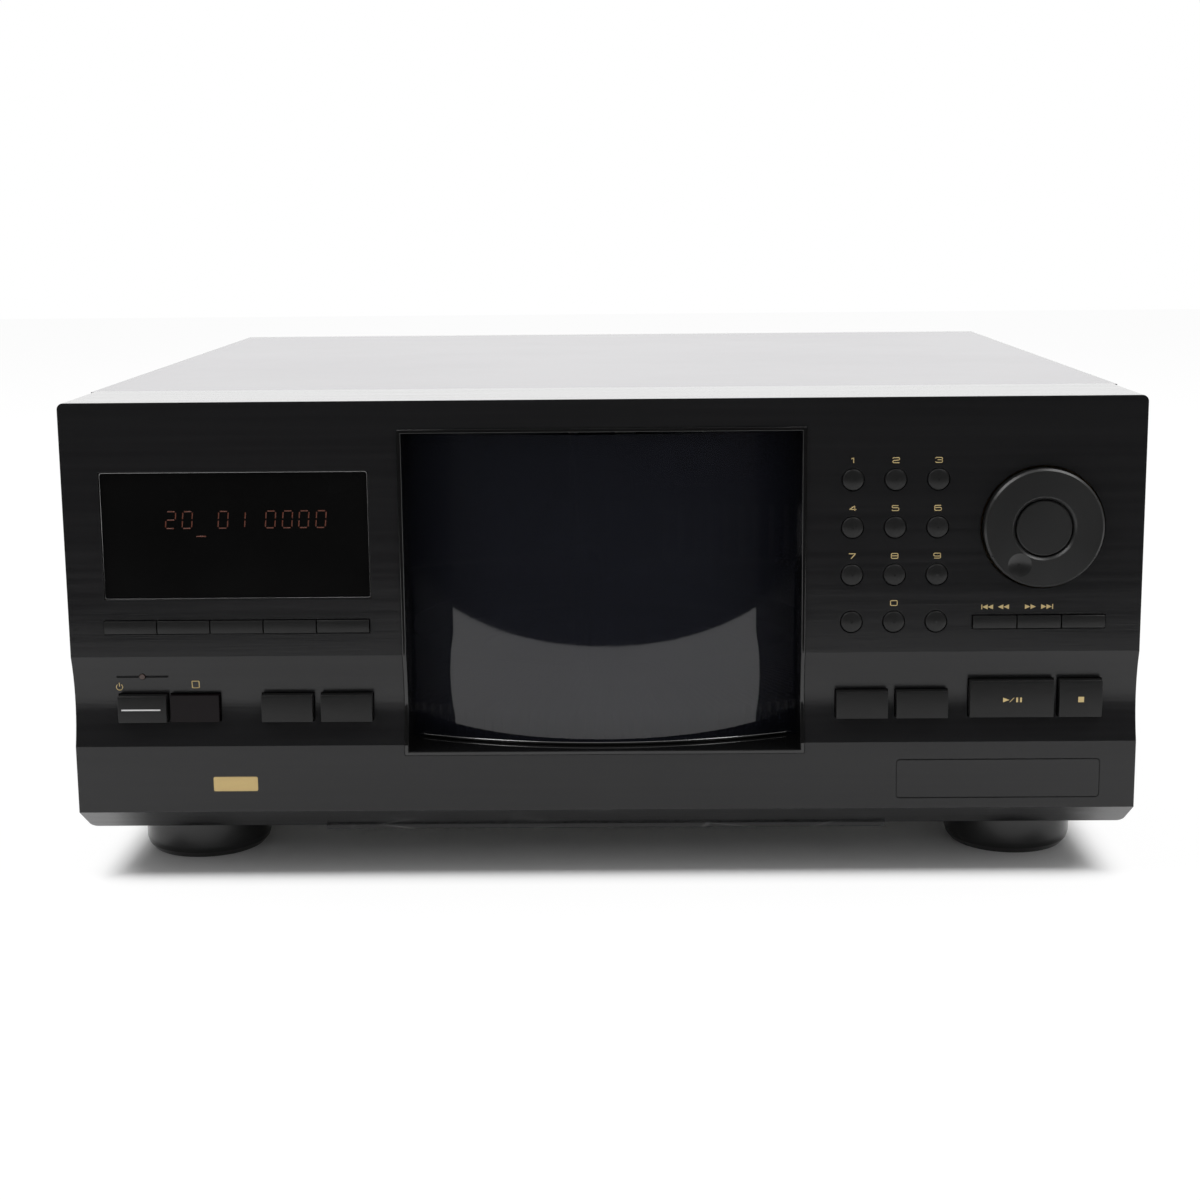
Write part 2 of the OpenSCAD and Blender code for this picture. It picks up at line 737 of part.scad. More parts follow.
module base_moulding() {
    plate_x = body_w / 2 - 8;
    y0 = front_back_y + 2;
    y1 = rear_in_y - 2;
    color([0.18, 0.18, 0.19]) {
        difference() {
            union() {
                translate([-plate_x, y0, base_z]) cube([2 * plate_x, y1 - y0, base_t]);
                translate([0, axis_y, base_z]) rotate([0, 0, -125])
                    rotate_extrude(angle = 127, $fn = 256) translate([door_r - 48, 0]) square([40, base_t]);
                // Feet of the moulding, down to the chassis
                for (sx = [-1, 1], y = [y0 + 12, y1 - 12, (y0 + y1) / 2])
                    translate([sx * (plate_x - 14), y, chassis_top]) cylinder(r = 5, h = base_z - chassis_top + eps);
            }
            translate([0, axis_y, base_z - 1]) cylinder(r = base_hub_r - 4, h = base_t + 2);
        }
        // Locating wall inside the carousel's hub, and the ledge under it
        translate([0, axis_y, 0]) rotate_extrude($fn = 128) polygon([
            [base_hub_r - 4, base_z], [hub_r + hub_skirt + 2, base_z], [hub_r + hub_skirt + 2, 35.7],
            [base_hub_r, 35.7], [base_hub_r, floor_z - 1], [base_hub_r - 4, floor_z - 1]
        ]);
        // Curved rail under the door
        translate([0, axis_y, 0]) rotate([0, 0, -125]) rotate_extrude(angle = 127, $fn = 256) polygon([
            [door_r - 10, base_top - eps], [door_r - 7, base_top - eps], [door_r - 7, shelf_z - 2.5],
            [door_r + 2.5, shelf_z - 2.5], [door_r + 2.5, shelf_z], [door_r - 10, shelf_z]
        ]);
        for (p = main_posts()) translate([p[0], p[1], base_top - eps])
            cylinder(r = 3.5, h = board_low - base_top + eps);
        // Floor plate that carries the mechanism inside the hub
        translate([0, axis_y, base_z]) difference() {
            cylinder(r = base_hub_r - 3, h = base_t);
            translate([0, 0, -1]) cylinder(r = 20, h = base_t + 2);
        }
    }
}

module motor(shaft_l) {
    color([0.7, 0.7, 0.72]) {
        cylinder(d = motor_d, h = motor_h);
        translate([0, 0, motor_h - eps]) cylinder(r = 3, h = 1.2);
        translate([0, 0, motor_h]) cylinder(r = shaft_r, h = shaft_l);
    }
}

function on_axis(r, a) = [r * cos(a), axis_y + r * sin(a)];
ring_pinion_at = on_axis(ring_pinion_d, ring_pinion_angle);
door_pinion_at = on_axis(door_pinion_d, door_pinion_angle);
pinion_low = ring_low + 0.4;
pinion_top = floor_z - floor_t - 0.5;
door_pinion_low = rack_low;
door_pinion_top = rack_low + rack_h + 0.2;

module drive_motors() {
    for (p = [ring_pinion_at, door_pinion_at]) translate([p[0], p[1], base_top])
        motor(pinion_top - base_top - motor_h);
    translate([mech_x - motor_h, axis_y, disc_z]) rotate([0, 90, 0]) motor(13.5);
}

// THE DISC MECHANISM
module mech_frame() {
    bridge_z = disc_z + disc_r + 3;
    ear_low = clamp_z - 5;
    color([0.55, 0.56, 0.58]) translate([0, axis_y, 0]) {
        difference() {
            union() {
                translate([mech_x, -mech_half, base_top]) cube([mech_t, 2 * mech_half, bridge_z + 2.4 - base_top]);
                translate([mech_x - 14, -mech_half, base_top]) cube([15, 2 * mech_half, 2.5]);
                translate([mech_x, -20, bridge_z]) cube([clamp_x + 6 - mech_x, 40, 2.4]);
                for (s = [-1, 1]) translate([clamp_x - 5, s * 18.5 - 1.5, ear_low])
                    cube([10, 3, bridge_z - ear_low + eps]);
                for (z = [rod_low, rod_top - lug_t], s = [-1, 1])
                    translate([mech_x + mech_t - eps, s * rod_y - 4, z]) cube([rod_x + 4 - mech_x - mech_t, 8, lug_t]);
            }
            rod_x_axis(0, disc_z, 3.4, mech_x - 1, mech_x + 10);
            translate([mech_x - 1, -13, 44]) cube([mech_t + 2, 26, 50]);
            for (s = [-1, 1]) translate([rod_x, s * rod_y, rod_low - 1]) cylinder(r = rod_r + 0.02, h = rod_top);
        }
        rod_x_axis(arm_pin_y, arm_pin_z, arm_pin_r, mech_x + mech_t - eps, 3);
        rod_x_axis(arm_pin_y, arm_pin_z, arm_pin_r + 1.5, mech_x + mech_t - eps, -3.6);
        // Pin of the clamp arm, between the two ears
        rod_y_axis(clamp_x, clamp_z, clamp_pin_r, -18, 18);
    }
}

module guide_rods() {
    color([0.8, 0.8, 0.82]) for (s = [-1, 1])
        translate([rod_x, axis_y + s * rod_y, rod_low]) cylinder(r = rod_r, h = rod_top - rod_low);
}

module turntable() {
    hub_r_out = 4;
    color([0.1, 0.1, 0.1]) translate([0, axis_y, 0]) difference() {
        union() {
            rod_x_axis(0, disc_z, hub_r_out, -10, -1);
            rod_x_axis(0, disc_z, 15, -3, -1);
            rod_x_axis(0, disc_z, 7.3, -1.5, 0.8);
        }
        rod_x_axis(0, disc_z, shaft_r + run, -12, -1.4);
    }
}

module pickup() {
    color([0.12, 0.12, 0.13]) translate([0, axis_y, 0]) {
        difference() {
            union() {
                translate([-13, -12, disc_z - 36]) cube([8.5, 24, 20]);
                translate([-13, -rod_y - 3, disc_z - 31]) cube([6, 2 * rod_y + 6, 10]);
            }
            for (s = [-1, 1]) translate([rod_x, s * rod_y, disc_z - 40]) cylinder(r = rod_r + run, h = 30);
        }
        rod_x_axis(0, disc_z - 24, 3, -5, -3);
    }
}

module transfer_arm() {
    length = 34;
    lean = 40;
    color([0.75, 0.75, 0.77]) translate([0, axis_y + arm_pin_y, arm_pin_z]) difference() {
        union() {
            rod_x_axis(0, 0, 5, -3, 1);
            rotate([lean, 0, 0]) translate([-0.4, 0, -3]) cube([1.3, length, 6]);
            rotate([lean, 0, 0]) rod_x_axis(length, 0, 4, -0.4, 0.9);
        }
        rod_x_axis(0, 0, arm_pin_r + run, -5, 5);
    }
}

module clamp_arm() {
    low = disc_z - 6;
    color([0.16, 0.16, 0.17]) translate([0, axis_y, 0]) {
        difference() {
            union() {
                rod_y_axis(clamp_x, clamp_z, 4, -16.5, 16.5);
                translate([clamp_x - 2, -8, low]) cube([2.4, 16, clamp_z - low]);
            }
            rod_y_axis(clamp_x, clamp_z, clamp_pin_r + run, -20, 20);
        }
        // The puck that presses the disc
        rod_x_axis(0, disc_z, 13, 2, clamp_x - 3.4);
        rod_x_axis(0, disc_z, 3, clamp_x - 3.5, clamp_x - 2 + eps);
    }
}

// DOOR AND CAROUSEL
module hood_door() {
    first_tooth = ceil((-90 - door_half) / 360 * rack_teeth);
    last_tooth = floor((-90 + door_half) / 360 * rack_teeth);
    color([0.1, 0.1, 0.12, 0.8]) translate([0, axis_y, 0]) {
        rotate([0, 0, -90 - door_half]) rotate_extrude(angle = 2 * door_half, $fn = 256) polygon([
            [door_r - door_t, rack_low], [door_r, rack_low], [door_r, door_top - 1.2],
            [door_r - 0.5, door_top - 0.2], [door_r - 1.2, door_top], [door_r - door_t, door_top]
        ]);
        translate([0, 0, rack_low]) linear_extrude(height = rack_h) polygon(
            rack_points(rack_teeth, first_tooth, last_tooth, 0.44, 1.6, 2.5, 20, door_r - door_t + 0.6));
    }
}

// Both pinions share this outline; turn sets the tooth phase that meshes at rest.
module pinion(turn, low, top) {
    color([0.85, 0.83, 0.75]) translate([0, 0, low]) difference() {
        rotate([0, 0, turn]) linear_extrude(height = top - low)
            polygon(gear_points(pinion_teeth, 0.40, 1.6, 2.2, 20));
        translate([0, 0, -1]) cylinder(r = shaft_r + run, h = top - low + 2);
    }
}

// A ring tooth points at angle a when a is a whole number of pitches, so the pinion shows a gap there.
function ring_phase(a, teeth) = a - floor(a * teeth / 360) * 360 / teeth;
ring_pinion_turn = ring_pinion_angle + 180
    + ring_phase(ring_pinion_angle, ring_teeth) * ring_teeth / pinion_teeth + 180 / pinion_teeth;
door_pinion_turn = door_pinion_angle
    - ring_phase(door_pinion_angle, rack_teeth) * rack_teeth / pinion_teeth + 180 / pinion_teeth;

module hood_pinion() {
    translate([door_pinion_at[0], door_pinion_at[1], 0]) pinion(door_pinion_turn, door_pinion_low, door_pinion_top);
}

module carousel_pinion() {
    translate([ring_pinion_at[0], ring_pinion_at[1], 0]) pinion(ring_pinion_turn, pinion_low, pinion_top);
}

// Outline of the fins: a ring with one radial fin between each two discs.
function fin_points() = [
    for (i = [0 : slot_count - 1], k = [0 : 3]) let (
        r = (k == 0 || k == 3) ? fin_r : rack_r - 0.4,
        half = asin(fin_t / 2 / r),
        a = i * 360 / slot_count + (k < 2 ? -half : half)
    ) [r * cos(a), r * sin(a)]
];

module carousel() {
    floor_low = floor_z - floor_t;
    color([0.2, 0.2, 0.21]) translate([0, axis_y, 0]) {
        rotate_extrude($fn = 256) polygon([
            [hub_r, 36], [hub_r + hub_skirt, 36], [hub_r + hub_skirt, floor_low],
            [ring_r - 8, floor_low], [ring_r - 8, ring_low], [ring_r - 2.4, ring_low],
            [ring_r - 2.4, floor_low], [rack_r, floor_low], [rack_r, floor_z], [hub_r, floor_z]
        ]);
        translate([0, 0, ring_low]) linear_extrude(height = floor_low - ring_low + eps) difference() {
            polygon(gear_points(ring_teeth, 0.42, 1.6, 2.5, 20));
            circle(r = ring_r - 6, $fn = 256);
        }
        translate([0, 0, floor_z - eps]) linear_extrude(height = fin_h) difference() {
            polygon(fin_points());
            circle(r = fin_r - 2, $fn = 256);
        }
    }
}

// DIAL AND KEYS
enter_stem_r = 4.4;
dial_face_t = 5.5;

module jog_dial() {
    r = dial_d / 2;
    well = enter_d / 2;
    a = dimple_angle;
    color([0.12, 0.12, 0.13]) difference() {
        on_face(dial_x, dial_z) rotate_extrude($fn = 128) polygon([
            [6 + run, dial_proud - dial_face_t], [r, dial_proud - dial_face_t], [r, dial_proud - 0.8],
            [r - 0.8, dial_proud], [well + 1.7, dial_proud], [well + 0.4, dial_proud - 1.4],
            [well + 0.4, dial_proud - 3], [6 + run, dial_proud - 3]
        ]);
        on_face(dial_x + dimple_r * cos(a), dial_z + dimple_r * sin(a))
            translate([0, 0, dial_proud + 9 - 1.3]) sphere(r = 9, $fn = 96);
    }
    color([0.12, 0.12, 0.13]) on_face(dial_x, dial_z) difference() {
        translate([0, 0, dial_proud - dial_face_t - 4]) cylinder(r = 9, h = 4 + eps);
        translate([0, 0, dial_proud - dial_face_t - 5]) cylinder(r = 6 + run, h = 8);
    }
}

module enter_button() {
    color([0.13, 0.13, 0.14]) on_face(dial_x, dial_z) {
        translate([0, 0, dial_proud - 1.9]) cylinder(r = enter_d / 2, h = 1.1);
        translate([0, 0, face_y - stem_end_y]) cylinder(r = enter_stem_r, h = dial_proud - 1.8 - face_y + stem_end_y);
    }
}

// A key cap with a crowned front, a flange behind the wall and a stem to its switch.
module bar_key(x, z, w, h, behind, crown) {
    flange_front = face_y - behind - fit;
    side = min(key_flange, 0.15 + key_gap);
    color([0.12, 0.12, 0.13]) {
        intersection() {
            face_block(x, z, w, h, flange_front - eps, key_proud + 1);
            rod_x_axis(face_y - key_proud + crown, z, crown, x - w, x + w);
        }
        face_block(x, z, w + 2 * side * (behind == wall_y ? 0 : 1), h + 2 * key_flange,
                   flange_front - key_flange_t, flange_front);
        rod_y_axis(x, z, 1.6, face_y - flange_front, stem_end_y);
    }
}

module round_key(col, row) {
    p = round_key_at(col, row);
    dome = 9;
    flange_front = face_y - wall_y - fit;
    color([0.12, 0.12, 0.13]) {
        intersection() {
            face_disc(p[0], p[1], round_d / 2, flange_front - eps, key_proud + 1);
            on_face(p[0], p[1]) translate([0, 0, key_proud - dome]) sphere(r = dome, $fn = 96);
        }
        face_disc(p[0], p[1], round_d / 2 + key_flange, flange_front - key_flange_t, flange_front);
        rod_y_axis(p[0], p[1], 1.6, face_y - flange_front, stem_end_y);
    }
}

module slim_key(i) {
    bar_key(slim_x + i * slim_pitch, slim_z, slim_span, slim_h, wall_y, 9);
}

module skip_key(i) {
    bar_key(skip_x + i * skip_pitch, slim_z, skip_span, slim_h, wall_y, 9);
}

module broad_key(x, w) {
    bar_key(x, broad_z, w, broad_h, band_wall_y, 42);
}

module tall_key(x, w) {
    bar_key(x, tall_z, w, tall_h, band_wall_y, 50);
}

front_panel();
door_collar();
display_window();
sensor_window();
standby_lamp();
display_tube();
display_board();
key_board();
bonnet();
screws();
chassis();
rear_panel();
feet();
line_out_jacks();
digital_out();
control_jacks();
cord_gland();
transformer();
main_board();
base_moulding();
drive_motors();
mech_frame();
guide_rods();
hood_door();
hood_pinion();
carousel();
carousel_pinion();
turntable();
clamp_arm();
pickup();
transfer_arm();
jog_dial();
enter_button();
round_key(0, 0);  // key_1
round_key(1, 0);  // key_2
round_key(2, 0);  // key_3
round_key(0, 1);  // key_4
round_key(1, 1);  // key_5
round_key(2, 1);  // key_6
round_key(0, 2);  // key_7
round_key(1, 2);  // key_8
round_key(2, 2);  // key_9
round_key(0, 3);  // key_disc
round_key(1, 3);  // key_0
round_key(2, 3);  // key_track
slim_key(-2);  // key_mode
slim_key(-1);  // key_clear
slim_key(0);  // key_program
slim_key(1);  // key_repeat
slim_key(2);  // key_display
skip_key(-1);  // key_skip_back
skip_key(0);  // key_skip_forward
skip_key(1);  // key_random
broad_key(power_x, broad_span - 1);  // key_power
broad_key(access_x, broad_span);  // key_access
broad_key(single_x, broad_span);  // key_single_play
broad_key(open_x, broad_span);  // key_open
broad_key(unload_x, broad_span);  // key_unload
tall_key(play_x, tall_span);  // key_play_pause
tall_key(stop_x, short_span);  // key_stop
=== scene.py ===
# %% [markdown]
# # A disc changer, dressed for its picture
#
# The solids of this changer come from its CAD model: every wall, key, gear and screw is where it
# will be in the finished part, and nothing here moves them. This lesson gives them what a camera
# sees: soft edges, smoked plastic, brushed mouldings, gold print, and the room that the gloss
# mirrors. Each step says what the piece is on the real object before it makes it.

import json
import math

import bmesh
import bpy
from mathutils import Matrix, Vector


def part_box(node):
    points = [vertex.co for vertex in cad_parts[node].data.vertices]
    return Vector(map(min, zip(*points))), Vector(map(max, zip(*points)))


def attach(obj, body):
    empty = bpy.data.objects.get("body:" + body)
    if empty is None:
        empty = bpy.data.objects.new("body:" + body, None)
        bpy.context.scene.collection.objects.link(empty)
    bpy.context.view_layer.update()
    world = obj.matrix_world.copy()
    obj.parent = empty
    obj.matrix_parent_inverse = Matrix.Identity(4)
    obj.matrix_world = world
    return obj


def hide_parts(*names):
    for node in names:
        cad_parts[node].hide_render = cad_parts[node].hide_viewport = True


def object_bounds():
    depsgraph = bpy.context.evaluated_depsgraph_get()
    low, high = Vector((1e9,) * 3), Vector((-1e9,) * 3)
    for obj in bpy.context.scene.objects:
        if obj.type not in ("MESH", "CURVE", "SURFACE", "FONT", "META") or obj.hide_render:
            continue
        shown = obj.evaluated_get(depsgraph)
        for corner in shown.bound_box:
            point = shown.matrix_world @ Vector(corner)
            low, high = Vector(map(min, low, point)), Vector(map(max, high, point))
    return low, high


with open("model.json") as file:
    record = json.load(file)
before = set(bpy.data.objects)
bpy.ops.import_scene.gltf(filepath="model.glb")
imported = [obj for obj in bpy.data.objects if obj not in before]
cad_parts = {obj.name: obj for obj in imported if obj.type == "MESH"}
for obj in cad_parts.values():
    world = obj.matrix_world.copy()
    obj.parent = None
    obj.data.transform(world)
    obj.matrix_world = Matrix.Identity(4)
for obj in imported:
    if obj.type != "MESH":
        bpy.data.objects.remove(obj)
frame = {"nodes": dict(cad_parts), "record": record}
cad_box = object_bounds()
node = frame["nodes"]

# %% [markdown]
# ## Where things are
#
# The drawing's numbers are in millimetres and Blender's in metres. The front face is a plane, so
# a mark on it needs only a distance across, a height and how far it stands out of that plane.
# The face's own depth is read from the solid, which keeps the marks on it if the solid changes.

# %% Millimetres on the front face
MM = 0.001
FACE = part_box("front_panel")[0][1]
AXIS_Y = (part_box("carousel")[0][1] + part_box("carousel")[1][1]) / 2


def on_face(x, z, out=0.0):
    return Vector((x * MM, FACE - out * MM, z * MM))


print("front face at y =", round(FACE, 4), "carousel axis at y =", round(AXIS_Y, 4))

# %% [markdown]
# ## The camera
#
# The photograph was taken from a little above the cabinet and almost straight in front of it. Its
# place was solved from edges whose sizes are known: four corners of the face, the opening and the
# rows of keys. A camera can be given as Euler angles, but a matrix of three directions is easier
# to check: forward, right and down are written out and Blender's axes follow from them.

# %% Camera at the photograph's place
PITCH, YAW, ROLL = math.radians(9.772), math.radians(-0.62), math.radians(0.516)
forward = Vector((math.sin(YAW) * math.cos(PITCH), math.cos(YAW) * math.cos(PITCH), -math.sin(PITCH)))
level = Vector((math.cos(YAW), -math.sin(YAW), 0))
down = forward.cross(level)
right = math.cos(ROLL) * level + math.sin(ROLL) * down
down = math.cos(ROLL) * down - math.sin(ROLL) * level

camera = bpy.data.objects.new("camera", bpy.data.cameras.new("camera"))
bpy.context.scene.collection.objects.link(camera)
turn = Matrix((right, -down, -forward)).transposed().to_4x4()
camera.matrix_world = Matrix.Translation(Vector((10.32, -942.52, 265.56)) * MM) @ turn
camera.data.sensor_width = 36
camera.data.lens = 1944.76 / 1200 * 36
camera.data.shift_x = (600 - 608.25) / 1200
camera.data.shift_y = (542.35 - 600) / 1200
camera.data.clip_start = 0.01
bpy.context.scene.camera = camera
print("camera lens", round(camera.data.lens, 2), "mm")

# %% [markdown]
# ## A finish from nodes
#
# Moulded plastic, paint and plated steel are never one flat colour: they have a fine grain that
# breaks up the gloss, tones that drift over a few centimetres, and edges that are a little round.
# Image textures could hold all that, but they need unwrapping and fix the scale. Procedural
# noise in object coordinates needs neither, so one helper builds the common part of each finish:
# a slow noise for tone and roughness, a fast one for grain, and a Bevel node that rounds the
# solids' sharp edges where the light catches them.

# %% The helpers that all finishes share
def add(tree, kind, **values):
    """Adds a node and sets its properties."""
    made = tree.nodes.new(kind)
    for key, value in values.items():
        setattr(made, key, value)
    return made


def calc(tree, operation, *values, clamp=False):
    """Adds a Math node, whose values are numbers or sockets, and gives its result's socket."""
    made = add(tree, "ShaderNodeMath", operation=operation, use_clamp=clamp)
    for socket, value in zip(made.inputs, values):
        if isinstance(value, (int, float)):
            socket.default_value = value
        else:
            tree.links.new(value, socket)
    return made.outputs["Value"]


def colour(value, alpha=1.0):
    return (value, value, value, alpha) if isinstance(value, float) else (*value, alpha)


def finish(name, low, high, rough, stretch=(1, 1, 1), drift=25, grain=900, depth=0.1, edge=0.3, **sockets):
    """A material whose colour runs from low to high and whose roughness runs over rough."""
    mat = bpy.data.materials.new(name)
    mat.use_nodes = True
    tree = mat.node_tree
    link = tree.links.new
    shader = tree.nodes["Principled BSDF"]
    for socket, value in sockets.items():
        shader.inputs[socket.replace("_", " ")].default_value = value
    where = add(tree, "ShaderNodeTexCoord")
    stretched = add(tree, "ShaderNodeMapping")
    stretched.inputs["Scale"].default_value = stretch
    link(where.outputs["Object"], stretched.inputs["Vector"])

    slow = add(tree, "ShaderNodeTexNoise")
    slow.inputs["Scale"].default_value = drift
    slow.inputs["Detail"].default_value = 5
    link(stretched.outputs["Vector"], slow.inputs["Vector"])
    tone = add(tree, "ShaderNodeMix", data_type="RGBA")
    tone.inputs["A"].default_value = colour(low)
    tone.inputs["B"].default_value = colour(high)
    link(slow.outputs["Fac"], tone.inputs["Factor"])
    link(tone.outputs["Result"], shader.inputs["Base Color"])
    sheen = add(tree, "ShaderNodeMapRange")
    for title, value in zip(("From Min", "From Max", "To Min", "To Max"), (0.35, 0.65, *rough)):
        sheen.inputs[title].default_value = value
    link(slow.outputs["Fac"], sheen.inputs["Value"])
    link(sheen.outputs["Result"], shader.inputs["Roughness"])

    fast = add(tree, "ShaderNodeTexNoise")
    fast.inputs["Scale"].default_value = grain
    fast.inputs["Detail"].default_value = 3
    link(stretched.outputs["Vector"], fast.inputs["Vector"])
    bump = add(tree, "ShaderNodeBump")
    bump.inputs["Strength"].default_value = depth
    bump.inputs["Distance"].default_value = 0.0002
    link(fast.outputs["Fac"], bump.inputs["Height"])
    link(bump.outputs["Normal"], shader.inputs["Normal"])
    if edge:
        bevel = add(tree, "ShaderNodeBevel", samples=6)
        bevel.inputs["Radius"].default_value = edge * MM
        link(bevel.outputs["Normal"], bump.inputs["Normal"])
    return mat


# %% [markdown]
# ## Scuffs and dust
#
# A used changer carries hairline scratches where it was slid in and out of a shelf, and dust.
# A scratch could be drawn line by line. Cell borders are quicker: the border between two cells
# of a Voronoi pattern is a straight thin line, and where a second noise hides most of them
# what is left looks like single scratches. They are a little lighter and rougher than the finish.

# %% Scratches over a finish
def scratch(mat, scale, width, amount, light, stretch=(1, 1, 1), low_only=None):
    """Lays thin pale scratches over the colour that already feeds the shader."""
    tree = mat.node_tree
    link = tree.links.new
    base = tree.nodes["Principled BSDF"].inputs["Base Color"]
    under = base.links[0].from_socket
    where = add(tree, "ShaderNodeTexCoord")
    turned = add(tree, "ShaderNodeMapping")
    turned.inputs["Scale"].default_value = stretch
    turned.inputs["Rotation"].default_value = (0.3, 0.5, 0.7)
    link(where.outputs["Object"], turned.inputs["Vector"])
    cells = add(tree, "ShaderNodeTexVoronoi", feature="DISTANCE_TO_EDGE")
    cells.inputs["Scale"].default_value = scale
    link(turned.outputs["Vector"], cells.inputs["Vector"])
    line = calc(tree, "LESS_THAN", cells.outputs["Distance"], width)
    patch = add(tree, "ShaderNodeTexNoise")
    patch.inputs["Scale"].default_value = scale * 0.6
    patch.inputs["Detail"].default_value = 1
    link(where.outputs["Object"], patch.inputs["Vector"])
    keep = add(tree, "ShaderNodeMapRange")
    keep.inputs["From Min"].default_value = 0.52
    keep.inputs["From Max"].default_value = 0.68
    keep.inputs["To Max"].default_value = amount
    link(patch.outputs["Fac"], keep.inputs["Value"])
    mask = calc(tree, "MULTIPLY", line, keep.outputs["Result"])
    if low_only:
        axes = add(tree, "ShaderNodeSeparateXYZ")
        link(where.outputs["Object"], axes.inputs["Vector"])
        mask = calc(tree, "MULTIPLY", mask, calc(tree, "LESS_THAN", axes.outputs["Z"], low_only * MM))
    mix = add(tree, "ShaderNodeMix", data_type="RGBA")
    mix.inputs["B"].default_value = colour(light)
    link(mask, mix.inputs["Factor"])
    link(under, mix.inputs["A"])
    link(mix.outputs["Result"], base)


# %% [markdown]
# ## The finishes of this changer
#
# The front is a dark moulding with a fine grain drawn across it, which the stretched noise gives.
# The bonnet is painted steel with a stipple. The opening's collar, the door and the windows are
# polished. Inside there is plated sheet, brown circuit board and black or natural plastic.

# %% Outside finishes
moulding = finish("cabinet_moulding", (0.0078, 0.0078, 0.0083), (0.012, 0.012, 0.0125), (0.15, 0.23),
                  stretch=(0.02, 1, 1), drift=420, grain=2600, depth=0.12, edge=0.35, Specular_IOR_Level=0.31)
scratch(moulding, 55, 0.012, 0.8, 0.09, stretch=(0.35, 1, 2), low_only=29)
# Only the narrow top of the moulding is polished: there the surface looks straight up
tree = moulding.node_tree
surface = add(tree, "ShaderNodeNewGeometry")
facing = add(tree, "ShaderNodeSeparateXYZ")
tree.links.new(surface.outputs["True Normal"], facing.inputs["Vector"])
coat = tree.nodes["Principled BSDF"].inputs
tree.links.new(calc(tree, "GREATER_THAN", facing.outputs["Z"], 0.95), coat["Coat Weight"])
coat["Coat Roughness"].default_value = 0.1
coat["Coat IOR"].default_value = 2.1
collar_gloss = finish("collar_gloss", 0.004, 0.006, (0.05, 0.09), depth=0.01, edge=0.3)
door_gloss = finish("door_gloss", (0.007, 0.0075, 0.0105), (0.009, 0.0098, 0.014), (0.015, 0.035),
                    depth=0.004, edge=0.5, Alpha=0.86)
window_gloss = finish("window_gloss", 0.0025, 0.004, (0.2, 0.28), depth=0.008, edge=0,
                      Specular_IOR_Level=0.04)
sensor_gloss = finish("sensor_gloss", (0.004, 0.003, 0.0035), (0.006, 0.004, 0.0045), (0.12, 0.18),
                      depth=0.006, edge=0, Specular_IOR_Level=0.1)
bonnet_paint = finish("bonnet_paint", (0.062, 0.056, 0.068), (0.075, 0.068, 0.08), (0.30, 0.36), drift=7,
                      grain=1700, depth=0.05, edge=0.5, Specular_IOR_Level=0.6, Coat_Weight=1.0,
                      Coat_Roughness=0.22, Coat_IOR=1.78)
scratch(bonnet_paint, 16, 0.004, 0.2, 0.16)
key_gloss = finish("key_gloss", 0.009, 0.013, (0.36, 0.44), grain=2000, depth=0.05, edge=0,
                   Specular_IOR_Level=0.22)
dial_gloss = finish("dial_gloss", 0.010, 0.014, (0.30, 0.38), grain=2400, depth=0.04, edge=0,
                    Specular_IOR_Level=0.4)
foot_black = finish("foot_black", 0.008, 0.012, (0.16, 0.3), grain=1200, depth=0.06, edge=0.4)
rear_paint = finish("rear_paint", 0.018, 0.026, (0.4, 0.5), grain=1500, depth=0.2)
lamp_tint = finish("lamp_tint", (0.035, 0.018, 0.014), (0.05, 0.026, 0.02), (0.1, 0.2), depth=0.01)
gold_ink = finish("gold_ink", (0.50, 0.38, 0.17), (0.60, 0.46, 0.22), (0.35, 0.5), grain=3000, depth=0.05,
                  edge=0, Metallic=0.35)
white_ink = finish("white_ink", 0.5, 0.62, (0.4, 0.5), grain=3000, depth=0.05, edge=0)
gold_plate = finish("gold_plate", (0.42, 0.31, 0.13), (0.55, 0.41, 0.19), (0.3, 0.42), stretch=(0.1, 1, 1),
                    drift=300, grain=2600, depth=0.12, edge=0, Metallic=0.6)
print("outside finishes ready")

# %% Inside and back finishes
plated = finish("plated_sheet", (0.42, 0.42, 0.40), (0.55, 0.55, 0.53), (0.28, 0.42), drift=60, depth=0.05,
                Metallic=1.0)
laminate = finish("circuit_laminate", (0.11, 0.07, 0.022), (0.16, 0.10, 0.035), (0.4, 0.5), drift=200,
                  depth=0.1)
base_plastic = finish("base_plastic", 0.02, 0.03, (0.42, 0.52), grain=1400, depth=0.25)
carousel_plastic = finish("carousel_plastic", 0.022, 0.03, (0.34, 0.44), grain=1600, depth=0.1, edge=0)
natural_plastic = finish("natural_plastic", (0.55, 0.52, 0.44), (0.62, 0.6, 0.52), (0.4, 0.5), depth=0.1,
                         edge=0)
black_plastic = finish("black_plastic", 0.012, 0.018, (0.36, 0.46), grain=1500, depth=0.15)
motor_can = finish("motor_can", 0.42, 0.52, (0.25, 0.35), stretch=(1, 1, 12), drift=80, depth=0.08,
                   Metallic=1.0)
polished = finish("polished_rod", 0.62, 0.7, (0.06, 0.12), depth=0.01, Metallic=1.0)
lever_steel = finish("lever_steel", 0.45, 0.55, (0.25, 0.35), stretch=(8, 1, 1), depth=0.08, Metallic=1.0)
screw_black = finish("screw_black", 0.02, 0.035, (0.3, 0.4), depth=0.1, Metallic=0.6)
gland_rubber = finish("gland_rubber", 0.012, 0.016, (0.55, 0.65), depth=0.2)
iron = finish("lamination_iron", (0.10, 0.085, 0.07), (0.2, 0.17, 0.14), (0.3, 0.45), stretch=(1, 260, 1),
              drift=6, depth=0.3, Metallic=0.4)
tube_glass = finish("tube_glass", (0.006, 0.007, 0.007), (0.01, 0.011, 0.011), (0.05, 0.1), depth=0.01,
                    edge=0)
